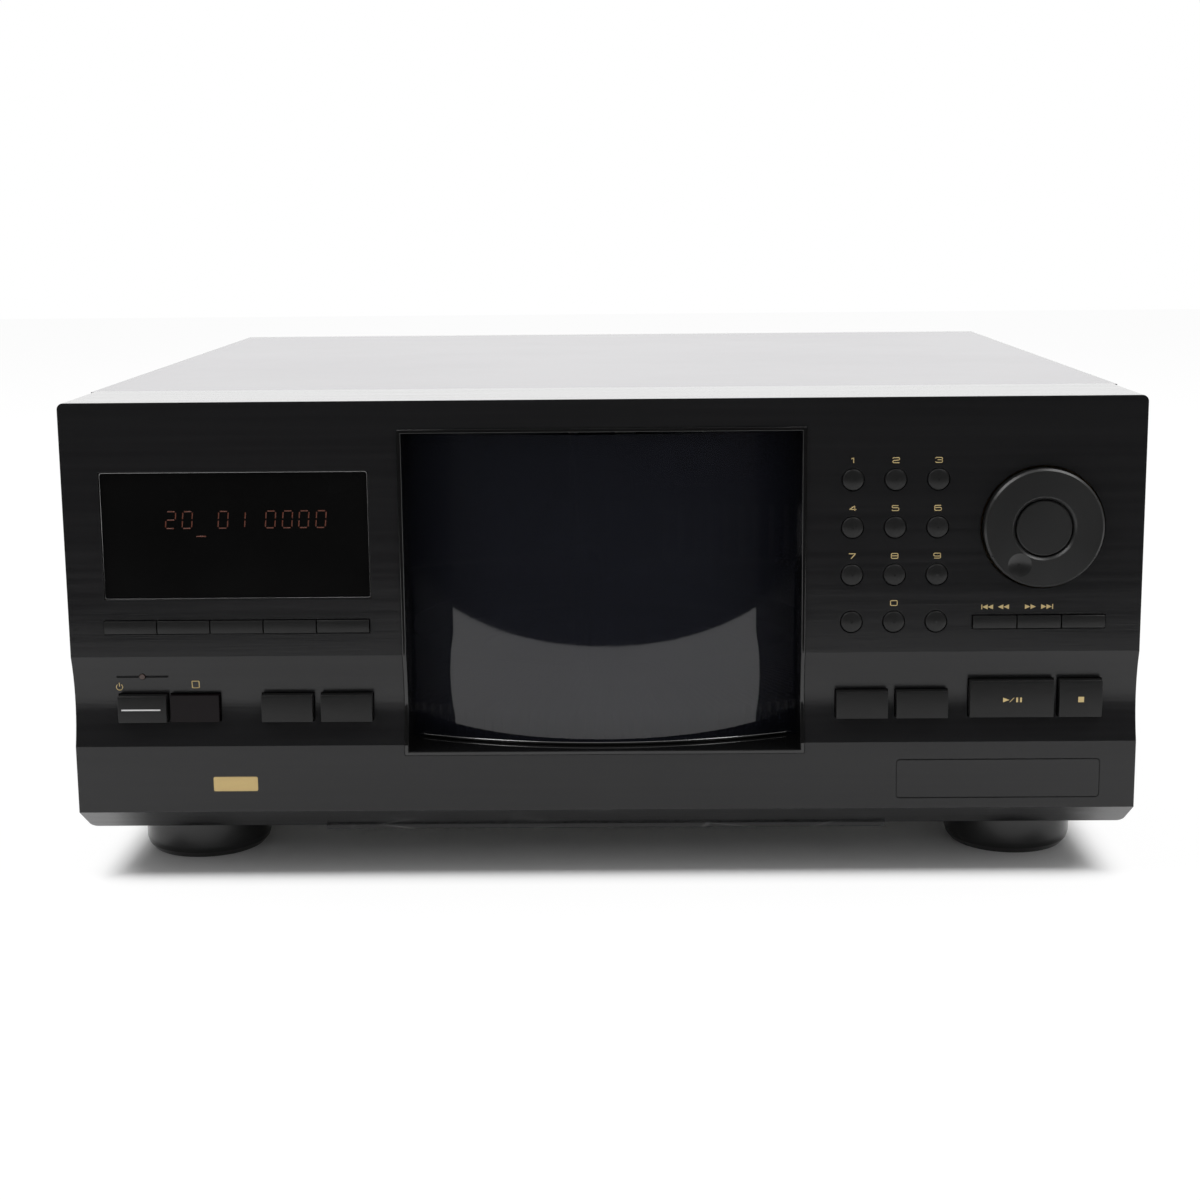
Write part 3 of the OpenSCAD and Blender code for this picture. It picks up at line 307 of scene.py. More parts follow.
amber_segment = finish("amber_segment", (0.06, 0.012, 0.005), (0.08, 0.016, 0.006), (0.3, 0.4), grain=3000,
                       depth=0.02, edge=0, Emission_Color=(1.0, 0.24, 0.06, 1.0), Emission_Strength=0.028)
# Painted glow: the pale ticks are no lamp, and their emission lets them show through the smoked door
tick_white = finish("tick_white", 0.62, 0.72, (0.35, 0.45), grain=2500, depth=0.04, edge=0,
                    Emission_Color=(1.0, 1.0, 1.0, 1.0), Emission_Strength=0.16)
ring_white = finish("ring_white", 0.6, 0.68, (0.3, 0.4), grain=2000, depth=0.05, edge=0)
ring_red = finish("ring_red", (0.42, 0.02, 0.02), (0.5, 0.03, 0.025), (0.3, 0.4), grain=2000, depth=0.05,
                  edge=0)
print("inside finishes ready")

# %% [markdown]
# ## Finishes on the solids
#
# A solid from the CAD model keeps its shape and takes a finish in its material slots.

# %% Give each solid its finish
wearing = {
    moulding: ["front_panel"], collar_gloss: ["door_collar"], window_gloss: ["display_window"],
    sensor_gloss: ["sensor_window"], lamp_tint: ["standby_lamp"], tube_glass: ["display_tube"],
    laminate: ["display_board", "key_board", "main_board"], bonnet_paint: ["bonnet"], screw_black: ["screws"],
    plated: ["chassis", "mech_frame"], rear_paint: ["rear_panel"], foot_black: ["feet"],
    black_plastic: ["line_out_jacks", "digital_out", "control_jacks", "turntable", "clamp_arm", "pickup"],
    gland_rubber: ["cord_gland"], iron: ["transformer"], base_plastic: ["base_moulding"],
    motor_can: ["drive_motors"], polished: ["guide_rods"], door_gloss: ["hood_door"],
    natural_plastic: ["hood_pinion", "carousel_pinion"], carousel_plastic: ["carousel"],
    lever_steel: ["transfer_arm"], dial_gloss: ["jog_dial", "enter_button"],
    key_gloss: [n for n in node if n.startswith("key_") and n != "key_board"],
}
for mat, names in wearing.items():
    for name in names:
        node[name].data.materials.clear()
        node[name].data.materials.append(mat)
print(sum(len(names) for names in wearing.values()), "solids have a finish")

# %% [markdown]
# ## Soft edges on the touched pieces
#
# Caps, dial, collar and windows are moulded, so no edge of theirs is a knife edge: a fillet of a few tenths
# of a millimetre draws the thin bright line round each key. A shader can fake it, but a real fillet is part
# of the shape itself. Each of these pieces is a copy of its solid: the copy's loose triangles are merged,
# flat areas are dissolved into single faces, a Bevel modifier cuts the fillets, and the result stands for the
# solid on the same body.

# %% A filleted copy of a solid
bodies = frame["record"]["behaviour"]["bodies"]
body_of = {name: body for body, names in bodies.items() for name in names}


def plain_mesh(obj, name):
    """Freezes an object's modifiers into a plain mesh."""
    graph = bpy.context.evaluated_depsgraph_get()
    mesh = bpy.data.meshes.new_from_object(obj.evaluated_get(graph))
    mesh.name = name
    return mesh


WIDE_FACE = 45 * MM * MM  # from this area on a face is flat, and is shaded flat


def fillet(name, width, segments=3, angle=35):
    source = node[name]
    bm = bmesh.new()
    bm.from_mesh(source.data)
    bmesh.ops.remove_doubles(bm, verts=bm.verts, dist=2e-6)
    bmesh.ops.dissolve_limit(bm, angle_limit=math.radians(0.4), verts=bm.verts, edges=bm.edges)
    mesh = bpy.data.meshes.new(name + "_soft")
    bm.to_mesh(mesh)
    bm.free()
    piece = bpy.data.objects.new(name + "_soft", mesh)
    bpy.context.scene.collection.objects.link(piece)
    bevel = piece.modifiers.new("fillet", "BEVEL")
    bevel.width = width * MM
    bevel.segments = segments
    bevel.limit_method = "ANGLE"
    bevel.angle_limit = math.radians(angle)
    bevel.use_clamp_overlap = True
    bevel.harden_normals = False
    smoothed = plain_mesh(piece, name + "_soft")
    piece.modifiers.clear()
    piece.data = smoothed
    smoothed.materials.clear()
    smoothed.materials.append(source.data.materials[0])
    smoothed.shade_smooth()
    smoothed.set_sharp_from_angle(angle=math.radians(28))
    for polygon in smoothed.polygons:
        polygon.use_smooth = polygon.area < WIDE_FACE
    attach(piece, body_of[name])
    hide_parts(name)
    return piece


# %% Fillets on keys, dial, collar and windows
widths = {name: 0.28 for name in node if name.startswith("key_") and name != "key_board"}
widths.update({"key_power": 0.4, "key_access": 0.4, "key_single_play": 0.4, "key_open": 0.4,
               "key_unload": 0.4, "key_play_pause": 0.45, "key_stop": 0.45})
widths.update({"jog_dial": 0.35, "enter_button": 0.4, "door_collar": 0.35, "display_window": 0.45,
               "sensor_window": 0.25})
for name, width in widths.items():
    fillet(name, width, angle=45 if name == "jog_dial" else 35)
print(len(widths), "pieces with real fillets")

# %% [markdown]
# ## Print that follows the face
#
# The front carries fine gold print. Names and words are left off this changer, and what stays is
# what any maker uses: plain numbers over the round keys and the usual symbols. Print is ink a few
# hundredths of a millimetre thick, so it is modelled as thin strokes. Part of it lies in the hollow
# scoop, so one function says how far the skin of the face lies behind the front plane at a height.

# %% The skin of the face
SCOOP_TOP, SCOOP_LOW, SCOOP_DEPTH = 92.6, 56.2, 3.0
scoop_mid = (SCOOP_TOP + SCOOP_LOW) / 2
scoop_radius = (((SCOOP_TOP - SCOOP_LOW) / 2) ** 2 + SCOOP_DEPTH ** 2) / (2 * SCOOP_DEPTH)


def face_skin(x, z):
    """How far out of the front plane the face lies: zero, or less in the scoop."""
    if not SCOOP_LOW < z < SCOOP_TOP:
        return 0.0
    return scoop_radius - SCOOP_DEPTH - math.sqrt(scoop_radius ** 2 - (z - scoop_mid) ** 2)


def crown_skin(centre, radius, proud=1.4):
    """The same for a bar key, whose front is a cylinder along X."""
    return lambda x, z: proud - radius + math.sqrt(radius ** 2 - (z - centre) ** 2)


print("the scoop is", round(-face_skin(0, scoop_mid), 2), "mm deep in its middle")

# %% [markdown]
# ## Strokes by Geometry Nodes
#
# A number in a wide technical alphabet is a pen stroke: a path of straight lines with filleted
# corners and one width. A font would carry someone's letter shapes. Drawing the path and letting
# Geometry Nodes give it its corners, width and thickness keeps every number alike, and the same
# tree draws the display's segments, the power symbol and the frames.

# %% The stroke tree
def stroke_tree():
    tree = bpy.data.node_groups.new("printed_stroke", "GeometryNodeTree")
    face = tree.interface
    face.new_socket("Geometry", in_out="INPUT", socket_type="NodeSocketGeometry")
    for title in ("Stroke Width", "Corner Radius", "Thickness"):
        face.new_socket(title, in_out="INPUT", socket_type="NodeSocketFloat")
    face.new_socket("Ink", in_out="INPUT", socket_type="NodeSocketMaterial")
    face.new_socket("Geometry", in_out="OUTPUT", socket_type="NodeSocketGeometry")
    start, end = add(tree, "NodeGroupInput"), add(tree, "NodeGroupOutput")
    curve = add(tree, "GeometryNodeMeshToCurve")
    corner = add(tree, "GeometryNodeFilletCurve", mode="POLY")
    corner.inputs["Count"].default_value = 3
    upright = add(tree, "GeometryNodeSetCurveNormal", mode="Z_UP")
    section = add(tree, "GeometryNodeCurvePrimitiveQuadrilateral")
    sweep = add(tree, "GeometryNodeCurveToMesh")
    sweep.inputs["Fill Caps"].default_value = True
    real = add(tree, "GeometryNodeRealizeInstances")
    paint = add(tree, "GeometryNodeSetMaterial")
    link = tree.links.new
    link(start.outputs["Geometry"], curve.inputs["Mesh"])
    link(curve.outputs["Curve"], corner.inputs["Curve"])
    link(start.outputs["Corner Radius"], corner.inputs["Radius"])
    corner.inputs["Limit Radius"].default_value = True
    link(corner.outputs["Curve"], upright.inputs["Curve"])
    link(start.outputs["Stroke Width"], section.inputs["Width"])
    link(start.outputs["Thickness"], section.inputs["Height"])
    link(upright.outputs["Curve"], sweep.inputs["Curve"])
    link(section.outputs["Curve"], sweep.inputs["Profile Curve"])
    link(sweep.outputs["Mesh"], real.inputs["Geometry"])
    link(real.outputs["Geometry"], paint.inputs["Geometry"])
    link(start.outputs["Ink"], paint.inputs["Material"])
    link(paint.outputs["Geometry"], end.inputs["Geometry"])
    return tree


printed_stroke = stroke_tree()


def set_inputs(modifier, **values):
    """Sets a Geometry Nodes modifier's inputs by their sockets' identifiers."""
    for item in modifier.node_group.interface.items_tree:
        key = item.name.replace(" ", "_").lower() if item.item_type == "SOCKET" else ""
        if key in values and item.in_out == "INPUT":
            modifier[item.identifier] = values[key]


print("stroke tree has", len(printed_stroke.nodes), "nodes")


# %% Laying flat work on the face
def lay(mesh, skin, lift):
    """Turns flat work, drawn in millimetres in XY, onto the face; Z becomes the height of ink."""
    for vert in mesh.vertices:
        x, z, high = vert.co
        vert.co = on_face(x, z, skin(x, z) + lift + high)
    bm = bmesh.new()
    bm.from_mesh(mesh)
    bmesh.ops.remove_doubles(bm, verts=bm.verts, dist=1e-7)
    bmesh.ops.recalc_face_normals(bm, faces=bm.faces)
    bm.to_mesh(mesh)
    bm.free()


def place(name, mesh, body, slot):
    piece = bpy.data.objects.new(name, mesh)
    bpy.context.scene.collection.objects.link(piece)
    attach(piece, body)
    return piece


def draw(name, paths, width, radius, thick, ink):
    """Runs paths of (x, y) points through the stroke tree; a path whose ends meet is closed."""
    mesh = bpy.data.meshes.new(name)
    verts, edges = [], []
    for path in paths:
        first = len(verts)
        closed = path[0] == path[-1]
        points = path[:-1] if closed else path
        verts += [(x, y, 0) for x, y in points]
        edges += [(first + i, first + i + 1) for i in range(len(points) - 1)]
        if closed:
            edges.append((first + len(points) - 1, first))
    mesh.from_pydata(verts, edges, [])
    pen = bpy.data.objects.new(name, mesh)
    bpy.context.scene.collection.objects.link(pen)
    modifier = pen.modifiers.new("stroke", "NODES")
    modifier.node_group = printed_stroke
    set_inputs(modifier, stroke_width=width, corner_radius=radius, thickness=thick, ink=ink)
    drawn = plain_mesh(pen, name)
    bpy.data.objects.remove(pen)
    return drawn


def strokes(name, paths, width, radius, ink, body, slot, skin=face_skin, lift=0.0, thick=0.06):
    """Draws paths as inked strokes on the face."""
    drawn = draw(name, paths, width, radius, thick, ink)
    lay(drawn, skin, lift)
    return place(name, drawn, body, slot)


def patches(name, shapes, ink, body, slot, skin=face_skin, lift=0.0, thick=0.06):
    """Solid shapes of ink: each is a list of corners."""
    bm = bmesh.new()
    for shape in shapes:
        low = bm.faces.new([bm.verts.new((x, z, -thick / 2)) for x, z in shape])
        grown = bmesh.ops.extrude_face_region(bm, geom=[low], use_keep_orig=True)["geom"]
        for vert in (g for g in grown if isinstance(g, bmesh.types.BMVert)):
            vert.co.z = thick / 2
    mesh = bpy.data.meshes.new(name)
    bm.to_mesh(mesh)
    bm.free()
    mesh.materials.append(ink)
    lay(mesh, skin, lift)
    return place(name, mesh, body, slot)


# %% [markdown]
# ## Numbers over the round keys
#
# Each number is drawn in a box of 0 to 1 both ways, then spread to 2.6 mm wide and 2.0 mm tall,
# the wide proportion of the print on such front panels.

# %% The alphabet of digits
def rounded(x0, y0, x1, y1):
    return [(x0, y0), (x1, y0), (x1, y1), (x0, y1), (x0, y0)]


DIGITS = { "0": [rounded(0, 0, 1, 1)], "1": [[(0.2, 0.8), (0.55, 1)], [(0.55, 1), (0.55, 0)]],
          "2": [[(0, 0.8), (0, 1), (1, 1), (1, 0.55), (0, 0.42), (0, 0), (1, 0)]],
          "3": [[(0, 0.8), (0, 1), (1, 1), (1, 0.52), (0.3, 0.52)],
                [(0.8, 0.52), (1, 0.52), (1, 0), (0, 0), (0, 0.2)]],
                "4": [[(0.8, 0), (0.8, 1)], [(0.8, 1), (0, 0.3)], [(0, 0.3), (1.05, 0.3)]],
                "5": [[(0.95, 1), (0, 1), (0, 0.58), (1, 0.58), (1, 0), (0, 0), (0, 0.18)]],
                "6": [[(0.95, 1), (0, 1), (0, 0), (1, 0), (1, 0.58), (0, 0.58)]],
                "7": [[(0, 1), (1, 1)], [(1, 1), (0.35, 0)]],
                "8": [rounded(0, 0, 1, 1), [(0, 0.52), (1, 0.52)]],
                "9": [[(0.05, 0), (1, 0), (1, 1), (0, 1), (0, 0.42), (1, 0.42)]], }


def drawn_at(sign, x, z, wide, tall):
    """The paths of a digit, centred at x, z."""
    return [[(x + (u - 0.5) * wide, z + (v - 0.5) * tall) for u, v in path] for path in DIGITS[sign]]


columns, rows = (97.1, 113.6, 130.1), (168.5, 149.8, 131.0)
paths = []
for index in range(9):
    paths += drawn_at(str(index + 1), columns[index % 3], rows[index // 3], 2.6, 1.95)
paths += drawn_at("0", columns[1], 112.3, 2.6, 1.95)
strokes("key_numbers", paths, 0.30, 0.42, gold_ink, "cabinet", "cabinet_moulding")
print("ten numbers printed")

# %% [markdown]
# ## Symbols
#
# Triangles and bars over the two skip keys, play and pause on the largest key and a square on the
# stop key are the marks that every player shares. Those on a key ride with it when it is pressed.

# %% Skip symbols
def triangle(x, z, wide, tall):
    """Points right for a positive width, left for a negative one."""
    return [(x, z - tall / 2), (x + wide, z), (x, z + tall / 2)]


def bar(x, z, wide, tall):
    return [(x - wide / 2, z - tall / 2), (x + wide / 2, z - tall / 2), (x + wide / 2, z + tall / 2),
            (x - wide / 2, z + tall / 2)]


skip_z, tall = 110.5, 1.9
back = [bar(147.9, skip_z, 0.35, tall)] + [triangle(x, skip_z, -2.1, tall)
                                           for x in (150.2, 152.3, 156.3, 158.5)]
ahead = [triangle(x, skip_z, 2.1, tall) for x in (164.7, 166.9, 171.0, 173.1)] + [bar(175.5, skip_z, 0.35,
                                                                                      tall)]
patches("skip_symbols", back + ahead, gold_ink, "cabinet", "cabinet_moulding")

# %% Marks on the keys
play_skin = crown_skin(73.6, 50)
patches("play_mark", [triangle(156.9, 73.4, 2.5, 1.9), bar(162.4, 73.4, 0.75, 1.9),
                      bar(163.9, 73.4, 0.75, 1.9)], gold_ink, "key_play_pause_cap", "key_plastic",
                      skin=play_skin)
strokes("play_slash", [[(159.5, 72.5), (161.2, 74.3)]], 0.22, 0, gold_ink, "key_play_pause_cap",
        "key_plastic", skin=play_skin)
patches("stop_mark", [bar(187.5, 73.4, 2.3, 2.2)], gold_ink, "key_stop_cap", "key_plastic", skin=play_skin)
patches("power_line", [bar(-183.0, 71.4, 15.4, 0.55)], white_ink, "key_power_cap", "key_plastic",
        skin=crown_skin(71.5, 42))

# %% Power symbol and the frame of the blank square over the sensor
sweep_from, sweep_to = math.radians(125), math.radians(415)
ring = [(-192.0 + 1.25 * math.cos(a), 79.9 + 1.25 * math.sin(a))
        for a in (sweep_from + (sweep_to - sweep_from) * i / 24 for i in range(25))]
strokes("power_symbol", [ring, [(-192.0, 80.1), (-192.0, 81.7)]], 0.3, 0, gold_ink, "cabinet",
        "cabinet_moulding", lift=0.14)
strokes("sensor_square", [rounded(-163.1, 79.4, -160.3, 82.2)], 0.35, 0.3, gold_ink, "cabinet",
        "cabinet_moulding", lift=0.14)
print("symbols printed")

# %% [markdown]
# ## The blank plaque
#
# Low on the left the front has a small gold plate. It is left bare here: a thin plate with round
# corners, satin and a little worn.

# %% Plaque
def plate(x, z, wide, tall, radius, steps=5):
    corners = [(x + wide / 2 - radius, z + tall / 2 - radius, 0),
               (x - wide / 2 + radius, z + tall / 2 - radius, 90),
               (x - wide / 2 + radius, z - tall / 2 + radius, 180),
               (x + wide / 2 - radius, z - tall / 2 + radius, 270)]
    return [(cx + radius * math.cos(math.radians(a + 90 * i / steps)),
             cz + radius * math.sin(math.radians(a + 90 * i / steps))) for cx, cz,
             a in corners for i in range(steps + 1)]


patches("blank_plaque", [plate(-146.9, 40.6, 17.6, 5.9, 0.6)], gold_plate, "cabinet", "cabinet_moulding",
        thick=0.12)

# %% [markdown]
# ## The bead round the display
#
# A thin polished bead closes the gap between the window and the moulding. It catches the lamps as
# a bright line under the window and a fainter one above it. It is one stroke of the same tree.

# %% Window bead
bead_gloss = finish("bead_gloss", 0.2, 0.26, (0.12, 0.2), depth=0.02, edge=0, Metallic=1.0)
strokes("window_bead", [rounded(-195.2, 115.9, -91.0, 165.7)], 0.3, 1.0, bead_gloss, "cabinet",
        "smoked_window", skin=lambda x, z: -0.62, thick=0.3)

# %% [markdown]
# ## The wiper bead at the foot of the door
#
# Where the door passes the collar's sill, a thin pale bead fills the gap and draws the bright curve
# at the foot of the door. It is the same stroke, bent round the carousel's axis.

# %% Door bead
SILL_UP, BEAD_RADIUS, BEAD_TALL = 4.15, 188.6, 1.3
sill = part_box("door_collar")[0][2] / MM + SILL_UP
arc = [(BEAD_RADIUS * math.cos(math.radians(a)), BEAD_RADIUS * math.sin(math.radians(a)))
       for a in range(-113, -66)]
bead = draw("door_bead", [arc], 0.5, 0.0, BEAD_TALL, bead_gloss)
for vert in bead.vertices:
    x, y, z = vert.co
    vert.co = (x * MM, AXIS_Y + y * MM, (z + sill + 0.6) * MM)
place("door_bead", bead, "cabinet", "gloss_trim")
print("door bead at height", round(sill, 1), "mm")

# %% [markdown]
# ## The display behind its window
#
# A fluorescent display shows its digits as thin leaning segments. They are faint in the daylight
# of the photograph: a dull orange on black. The window's glass is dark and nearly clear to them,
# so the segments lie on its front, as thin as ink, and glow a little. The digits are plain zeros
# and numbers.

# %% Segments
SEGMENTS = {"a": ((0.12, 1), (0.88, 1)), "b": ((1, 0.93), (1, 0.56)), "c": ((1, 0.44), (1, 0.07)),
            "d": ((0.12, 0), (0.88, 0)), "e": ((0, 0.07), (0, 0.44)), "f": ((0, 0.56), (0, 0.93)),
            "g": ((0.12, 0.5), (0.88, 0.5))}
LIT = {"0": "abcdef", "1": "bc", "2": "abged"}
DIGIT_WIDE, DIGIT_TALL, DIGIT_FOOT, LEAN = 3.7, 6.6, 143.7, 0.6
digit_paths = []
for sign, x in zip("20010000", (-168.2, -161.7, -147.7, -141.0, -129.2, -122.6, -116.2, -109.5)):
    for letter in LIT[sign]:
        digit_paths.append([(x - DIGIT_WIDE / 2 + DIGIT_WIDE * u + LEAN * (v - 0.5),
                             DIGIT_FOOT + DIGIT_TALL * v) for u, v in SEGMENTS[letter]])
dash_path = [(-158.4, 140.5), (-154.6, 140.5)]
for name, lit_paths in (("display_digits", digit_paths), ("display_dash", [dash_path])):
    strokes(name, lit_paths, 0.42, 0, amber_segment, "cabinet", "smoked_window", skin=lambda x, z: -1.0,
            thick=0.04)
print(len(digit_paths), "lit segments")

# %% [markdown]
# ## The comb round the carousel
#
# Behind the smoked door the rim of the carousel shows as a row of small pale ticks, one for each of its 300
# slots. Their white carries a painted glow, an emission that lets them show through the smoked door though
# they are no lamp. Three hundred copies made by hand would be slow to change; a mesh circle with 300 points
# and one tick on each, all by Geometry Nodes, is one number to change.

# %% Comb of ticks
def comb_tree():
    tree = bpy.data.node_groups.new("slot_comb", "GeometryNodeTree")
    face = tree.interface
    face.new_socket("Geometry", in_out="INPUT", socket_type="NodeSocketGeometry")
    face.new_socket("Slots", in_out="INPUT", socket_type="NodeSocketInt")
    for title in ("Rim Radius", "Tick Depth", "Tick Width", "Tick Height"):
        face.new_socket(title, in_out="INPUT", socket_type="NodeSocketFloat")
    face.new_socket("Plastic", in_out="INPUT", socket_type="NodeSocketMaterial")
    face.new_socket("Geometry", in_out="OUTPUT", socket_type="NodeSocketGeometry")
    start, end = add(tree, "NodeGroupInput"), add(tree, "NodeGroupOutput")
    circle = add(tree, "GeometryNodeMeshCircle")
    spots = add(tree, "GeometryNodeInstanceOnPoints")
    tick = add(tree, "GeometryNodeMeshCube")
    size = add(tree, "ShaderNodeCombineXYZ")
    where = add(tree, "GeometryNodeInputPosition")
    turn = add(tree, "FunctionNodeAlignRotationToVector", axis="X")
    real = add(tree, "GeometryNodeRealizeInstances")
    paint = add(tree, "GeometryNodeSetMaterial")
    link = tree.links.new
    link(start.outputs["Slots"], circle.inputs["Vertices"])
    link(start.outputs["Rim Radius"], circle.inputs["Radius"])
    link(start.outputs["Tick Depth"], size.inputs["X"])
    link(start.outputs["Tick Width"], size.inputs["Y"])
    link(start.outputs["Tick Height"], size.inputs["Z"])
    link(size.outputs["Vector"], tick.inputs["Size"])
    link(circle.outputs["Mesh"], spots.inputs["Points"])
    link(tick.outputs["Mesh"], spots.inputs["Instance"])
    link(where.outputs["Position"], turn.inputs["Vector"])
    link(turn.outputs["Rotation"], spots.inputs["Rotation"])
    link(spots.outputs["Instances"], real.inputs["Geometry"])
    link(real.outputs["Geometry"], paint.inputs["Geometry"])
    link(start.outputs["Plastic"], paint.inputs["Material"])
    link(paint.outputs["Geometry"], end.inputs["Geometry"])
    return tree


blank = bpy.data.objects.new("comb_pen", bpy.data.meshes.new("comb_pen"))
bpy.context.scene.collection.objects.link(blank)
modifier = blank.modifiers.new("comb", "NODES")
modifier.node_group = comb_tree()
SLOTS, COMB_HEIGHT = 300, 64.0
rim = (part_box("carousel")[1][0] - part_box("carousel")[0][0]) / 2
set_inputs(modifier, slots=SLOTS, rim_radius=rim - 0.9 * MM, tick_depth=1.2 * MM, tick_width=1.1 * MM,
           tick_height=3.4 * MM, plastic=tick_white)
comb = plain_mesh(blank, "slot_comb")
bpy.data.objects.remove(blank)
for vert in comb.vertices:
    vert.co += Vector((0, AXIS_Y, COMB_HEIGHT * MM))
place("slot_comb", comb, "disc_rack", "carousel_plastic")
print("comb of", len(comb.polygons) // 6, "ticks at radius", round(rim / MM, 1), "mm")

# %% [markdown]
# ## Sockets on the back
#
# A phono socket has a metal sleeve and a ring of coloured plastic round its foot, white for the
# left channel and red for the right. A spun outline gives each of them; the middle contact is a
# small tube inside.

# %% Spun pieces along Y
def spun(name, x, z, profile, mat, body, slot, steps=48):
    """Spins (radius, y) points in millimetres round the line through x, z that runs along Y."""
    bm = bmesh.new()
    loop = [bm.verts.new((r * MM, 0, y * MM)) for r, y in profile]
    edges = [bm.edges.new((loop[i], loop[(i + 1) % len(loop)])) for i in range(len(loop))]
    bmesh.ops.spin(bm, geom=loop + edges, axis=(0, 0, 1), cent=(0, 0, 0), angle=2 * math.pi, steps=steps)
    bmesh.ops.remove_doubles(bm, verts=bm.verts, dist=1e-7)
    bmesh.ops.recalc_face_normals(bm, faces=bm.faces)
    for vert in bm.verts:
        across, up, along = vert.co
        vert.co = (x * MM + across, along, z * MM + up)
    bmesh.ops.recalc_face_normals(bm, faces=bm.faces)
    mesh = bpy.data.meshes.new(name)
    bm.to_mesh(mesh)
    bm.free()
    mesh.materials.append(mat)
    mesh.shade_smooth()
    mesh.set_sharp_from_angle(angle=math.radians(30))
    return place(name, mesh, body, slot)


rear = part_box("line_out_jacks")[1][1] / MM
for name, x, ring_mat in (("left", -170.0, ring_white), ("right", -152.0, ring_red)):
    sleeve = [(4.155, rear - 4.7), (4.25, rear - 4.7), (4.25, rear - 0.25), (4.155, rear - 0.05)]
    spun("phono_sleeve_" + name, x, 46.0, sleeve, polished, "cabinet", "socket_plastic")
    ring = [(5.1, rear - 5.52), (5.1, rear - 4.9), (4.9, rear - 4.7), (4.16, rear - 4.7), (4.16, rear - 5.52)]
    spun("phono_ring_" + name, x, 46.0, ring, ring_mat, "cabinet", "socket_plastic")
print("two phono sockets dressed")

# %% [markdown]
# ## The white table and the dark room
#
# Gloss shows the room more than it shows its own colour. In the photograph a white table ends
# about 400 mm in front of the cabinet, and beyond it the room is dark: that edge is the bright
# lower part of the door and of the face, and the dark above it. Behind the cabinet everything is
# white. The table is a plane that ends where the real one does. The world is white to the camera,
# and to glossy rays it is dark in front and white above and behind.

# %% The table
# Distance in front of the face at places across, in metres: the far edge curves back at the sides
table_edge = [(0.0, 0.404), (0.1, 0.401), (0.2, 0.393), (0.3, 0.382), (0.4, 0.370), (0.5, 0.351),
              (0.6, 0.325), (0.75, 0.27), (3.0, 0.0)]
# Painted shade: the strength of the dark emission that the camera sees through the smoked door
PAINTED_SHADE_BEHIND_DOOR = 0.03
half = [(x, FACE - out) for x, out in table_edge] + [(3.0, 4.0)]
outline = half + [(-x, y) for x, y in reversed(half[1:])]
bm = bmesh.new()
bm.faces.new([bm.verts.new((x, y, 0)) for x, y in outline])
mesh = bpy.data.meshes.new("table")
bm.to_mesh(mesh)
bm.free()
table = bpy.data.objects.new("table", mesh)
bpy.context.scene.collection.objects.link(table)
table_white = finish("table_white", 0.9, 0.93, (0.6, 0.7), drift=4, grain=300, depth=0.02, edge=0)


def camera_sees(tree):
    """Two masks: what the camera sees directly, and what it sees through the smoked door."""
    path = add(tree, "ShaderNodeLightPath")
    ray, passed = path.outputs["Is Camera Ray"], path.outputs["Transparent Depth"]
    return calc(tree, "SUBTRACT", ray, passed, clamp=True), calc(tree, "MULTIPLY", ray, passed, clamp=True)


tree = table_white.node_tree
link = tree.links.new
direct, through = camera_sees(tree)
# Under the cabinet the table keeps its own shadow; the white to the camera starts at its outline
spot = add(tree, "ShaderNodeTexCoord")
axes = add(tree, "ShaderNodeSeparateXYZ")
link(spot.outputs["Object"], axes.inputs["Vector"])
past = []
for axis, low, high in zip("XY", *cad_box):
    centred = calc(tree, "SUBTRACT", axes.outputs[axis], (low + high) / 2)
    past.append(calc(tree, "SUBTRACT", calc(tree, "ABSOLUTE", centred), (high - low) / 2))
shade = add(tree, "ShaderNodeMapRange")
shade.inputs["From Min"].default_value = -0.016
shade.inputs["From Max"].default_value = 0.002
shade.inputs["To Max"].default_value = 0.93
link(calc(tree, "MAXIMUM", *past), shade.inputs["Value"])
glow = add(tree, "ShaderNodeEmission")
glow.inputs["Strength"].default_value = 1.0
blend = add(tree, "ShaderNodeMixShader")
link(calc(tree, "MULTIPLY", direct, shade.outputs["Result"]), blend.inputs["Fac"])
link(tree.nodes["Principled BSDF"].outputs["BSDF"], blend.inputs[1])
link(glow.outputs["Emission"], blend.inputs[2])
# What the camera sees of the table through the smoked door and the slots behind it is painted shade: a fixed
# dark emission stands in for the shade there
dark = add(tree, "ShaderNodeEmission")
dark.inputs["Strength"].default_value = PAINTED_SHADE_BEHIND_DOOR
hide = add(tree, "ShaderNodeMixShader")
link(through, hide.inputs["Fac"])
link(blend.outputs["Shader"], hide.inputs[1])
link(dark.outputs["Emission"], hide.inputs[2])
link(hide.outputs["Shader"], tree.nodes["Material Output"].inputs["Surface"])
table.data.materials.append(table_white)
print("table ends", round(table_edge[0][1] / MM), "mm in front of the face")

# %% The world
def blend_floats(tree, factor, first, second):
    """Mixes two values, each a number or a socket, by a factor's socket."""
    mix = add(tree, "ShaderNodeMix", data_type="FLOAT")
    tree.links.new(factor, mix.inputs["Factor"])
    for title, value in (("A", first), ("B", second)):
        if isinstance(value, float):
            mix.inputs[title].default_value = value
        else:
            tree.links.new(value, mix.inputs[title])
    return mix.outputs["Result"]


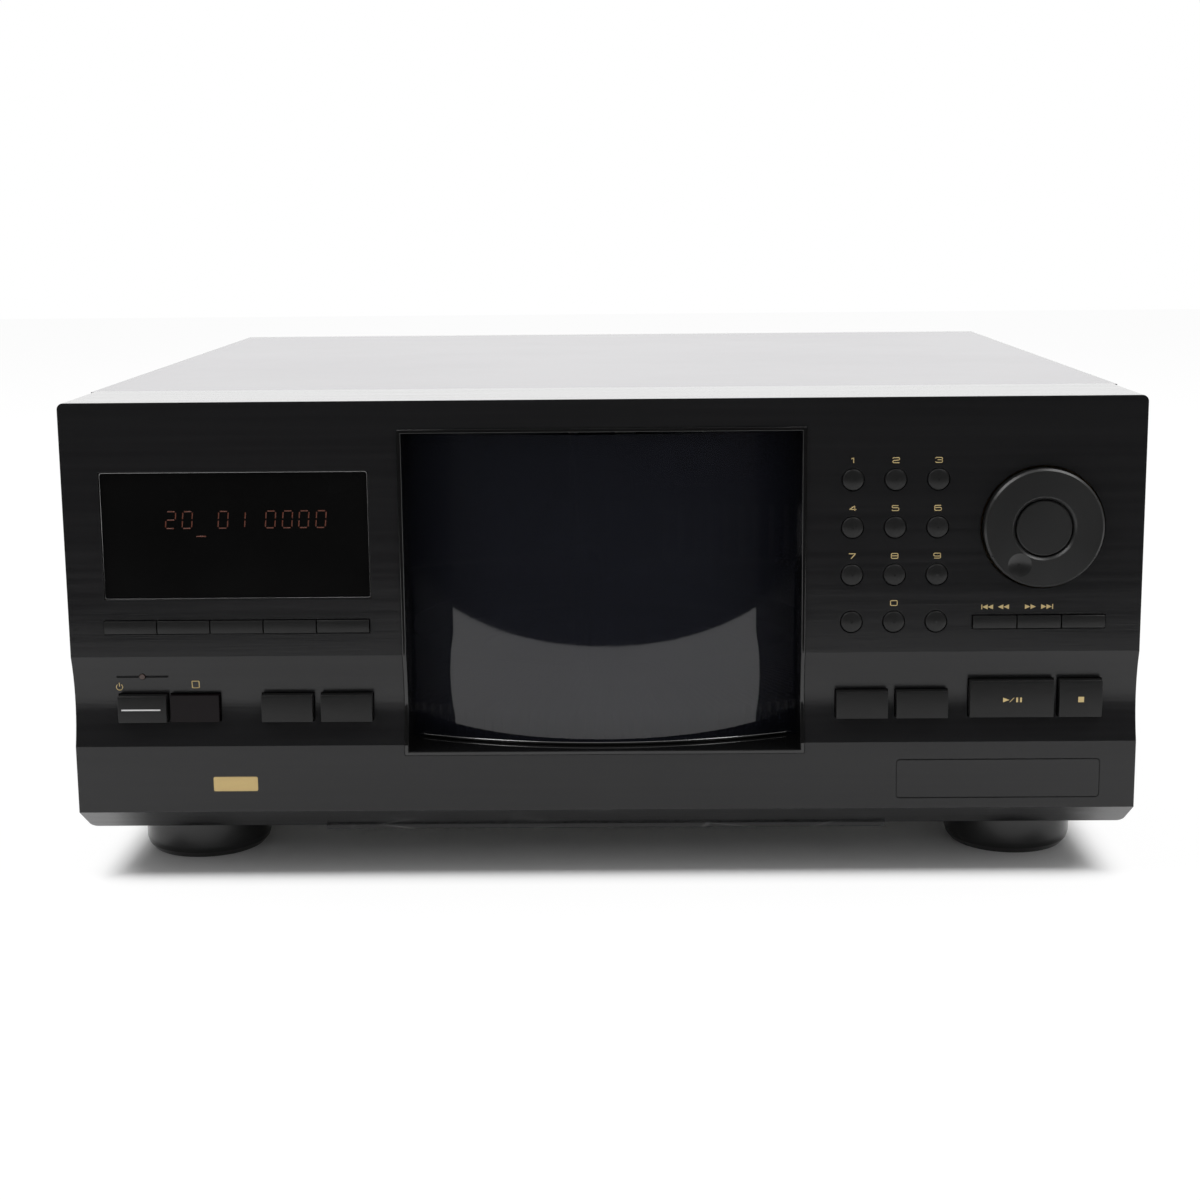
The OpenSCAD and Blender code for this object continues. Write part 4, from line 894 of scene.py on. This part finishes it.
world = bpy.data.worlds.new("room")
bpy.context.scene.world = world
world.use_nodes = True
tree = world.node_tree
background = tree.nodes["Background"]
background.inputs["Color"].default_value = (1, 1, 1, 1)
path = add(tree, "ShaderNodeLightPath")
view = add(tree, "ShaderNodeTexCoord")
axes = add(tree, "ShaderNodeSeparateXYZ")
tree.links.new(view.outputs["Generated"], axes.inputs["Vector"])
# 0 in front of the cabinet, 1 behind it, with the ceiling counted as half behind
fade = add(tree, "ShaderNodeMapRange", interpolation_type="SMOOTHSTEP")
for title, value in zip(("From Min", "From Max", "To Min", "To Max"), (-0.35, 0.35, 0.035, 1.0)):
    fade.inputs[title].default_value = value
tree.links.new(calc(tree, "MULTIPLY_ADD", axes.outputs["Z"], 0.45, axes.outputs["Y"]), fade.inputs["Value"])
direct, through = camera_sees(tree)
lit = blend_floats(tree, path.outputs["Is Glossy Ray"], 0.55, fade.outputs["Result"])
lit = blend_floats(tree, direct, lit, 1.0)
# Painted shade: what the camera sees of the world through the smoked door is set to the same fixed dark
# strength
tree.links.new(blend_floats(tree, through, lit, PAINTED_SHADE_BEHIND_DOOR), background.inputs["Strength"])
print("world ready")


# %% [markdown]
# ## Studio light
#
# Two large soft lamps stand above the table, one each side, and light it evenly. A third behind the
# cabinet draws its far edges.

# %% Lamps
def soft_lamp(name, place, target, size, power):
    lamp = bpy.data.objects.new(name, bpy.data.lights.new(name, "AREA"))
    lamp.data.shape = "RECTANGLE"
    lamp.data.size, lamp.data.size_y = size
    lamp.data.energy = power
    lamp.location = place
    lamp.rotation_euler = (Vector(target) - Vector(place)).to_track_quat("-Z", "Y").to_euler()
    bpy.context.scene.collection.objects.link(lamp)
    return lamp


soft_lamp("lamp_left", (-1.1, -0.3, 1.7), (0, -0.1, 0), (1.1, 1.1), 26)
soft_lamp("lamp_right", (1.1, -0.3, 1.7), (0, -0.1, 0), (1.1, 1.1), 22)
soft_lamp("lamp_back", (0.0, 1.2, 1.8), (0, 0, 0), (1.6, 0.8), 20)

# %% The view transform, and the end
scene = bpy.context.scene
scene.view_settings.view_transform = "Standard"
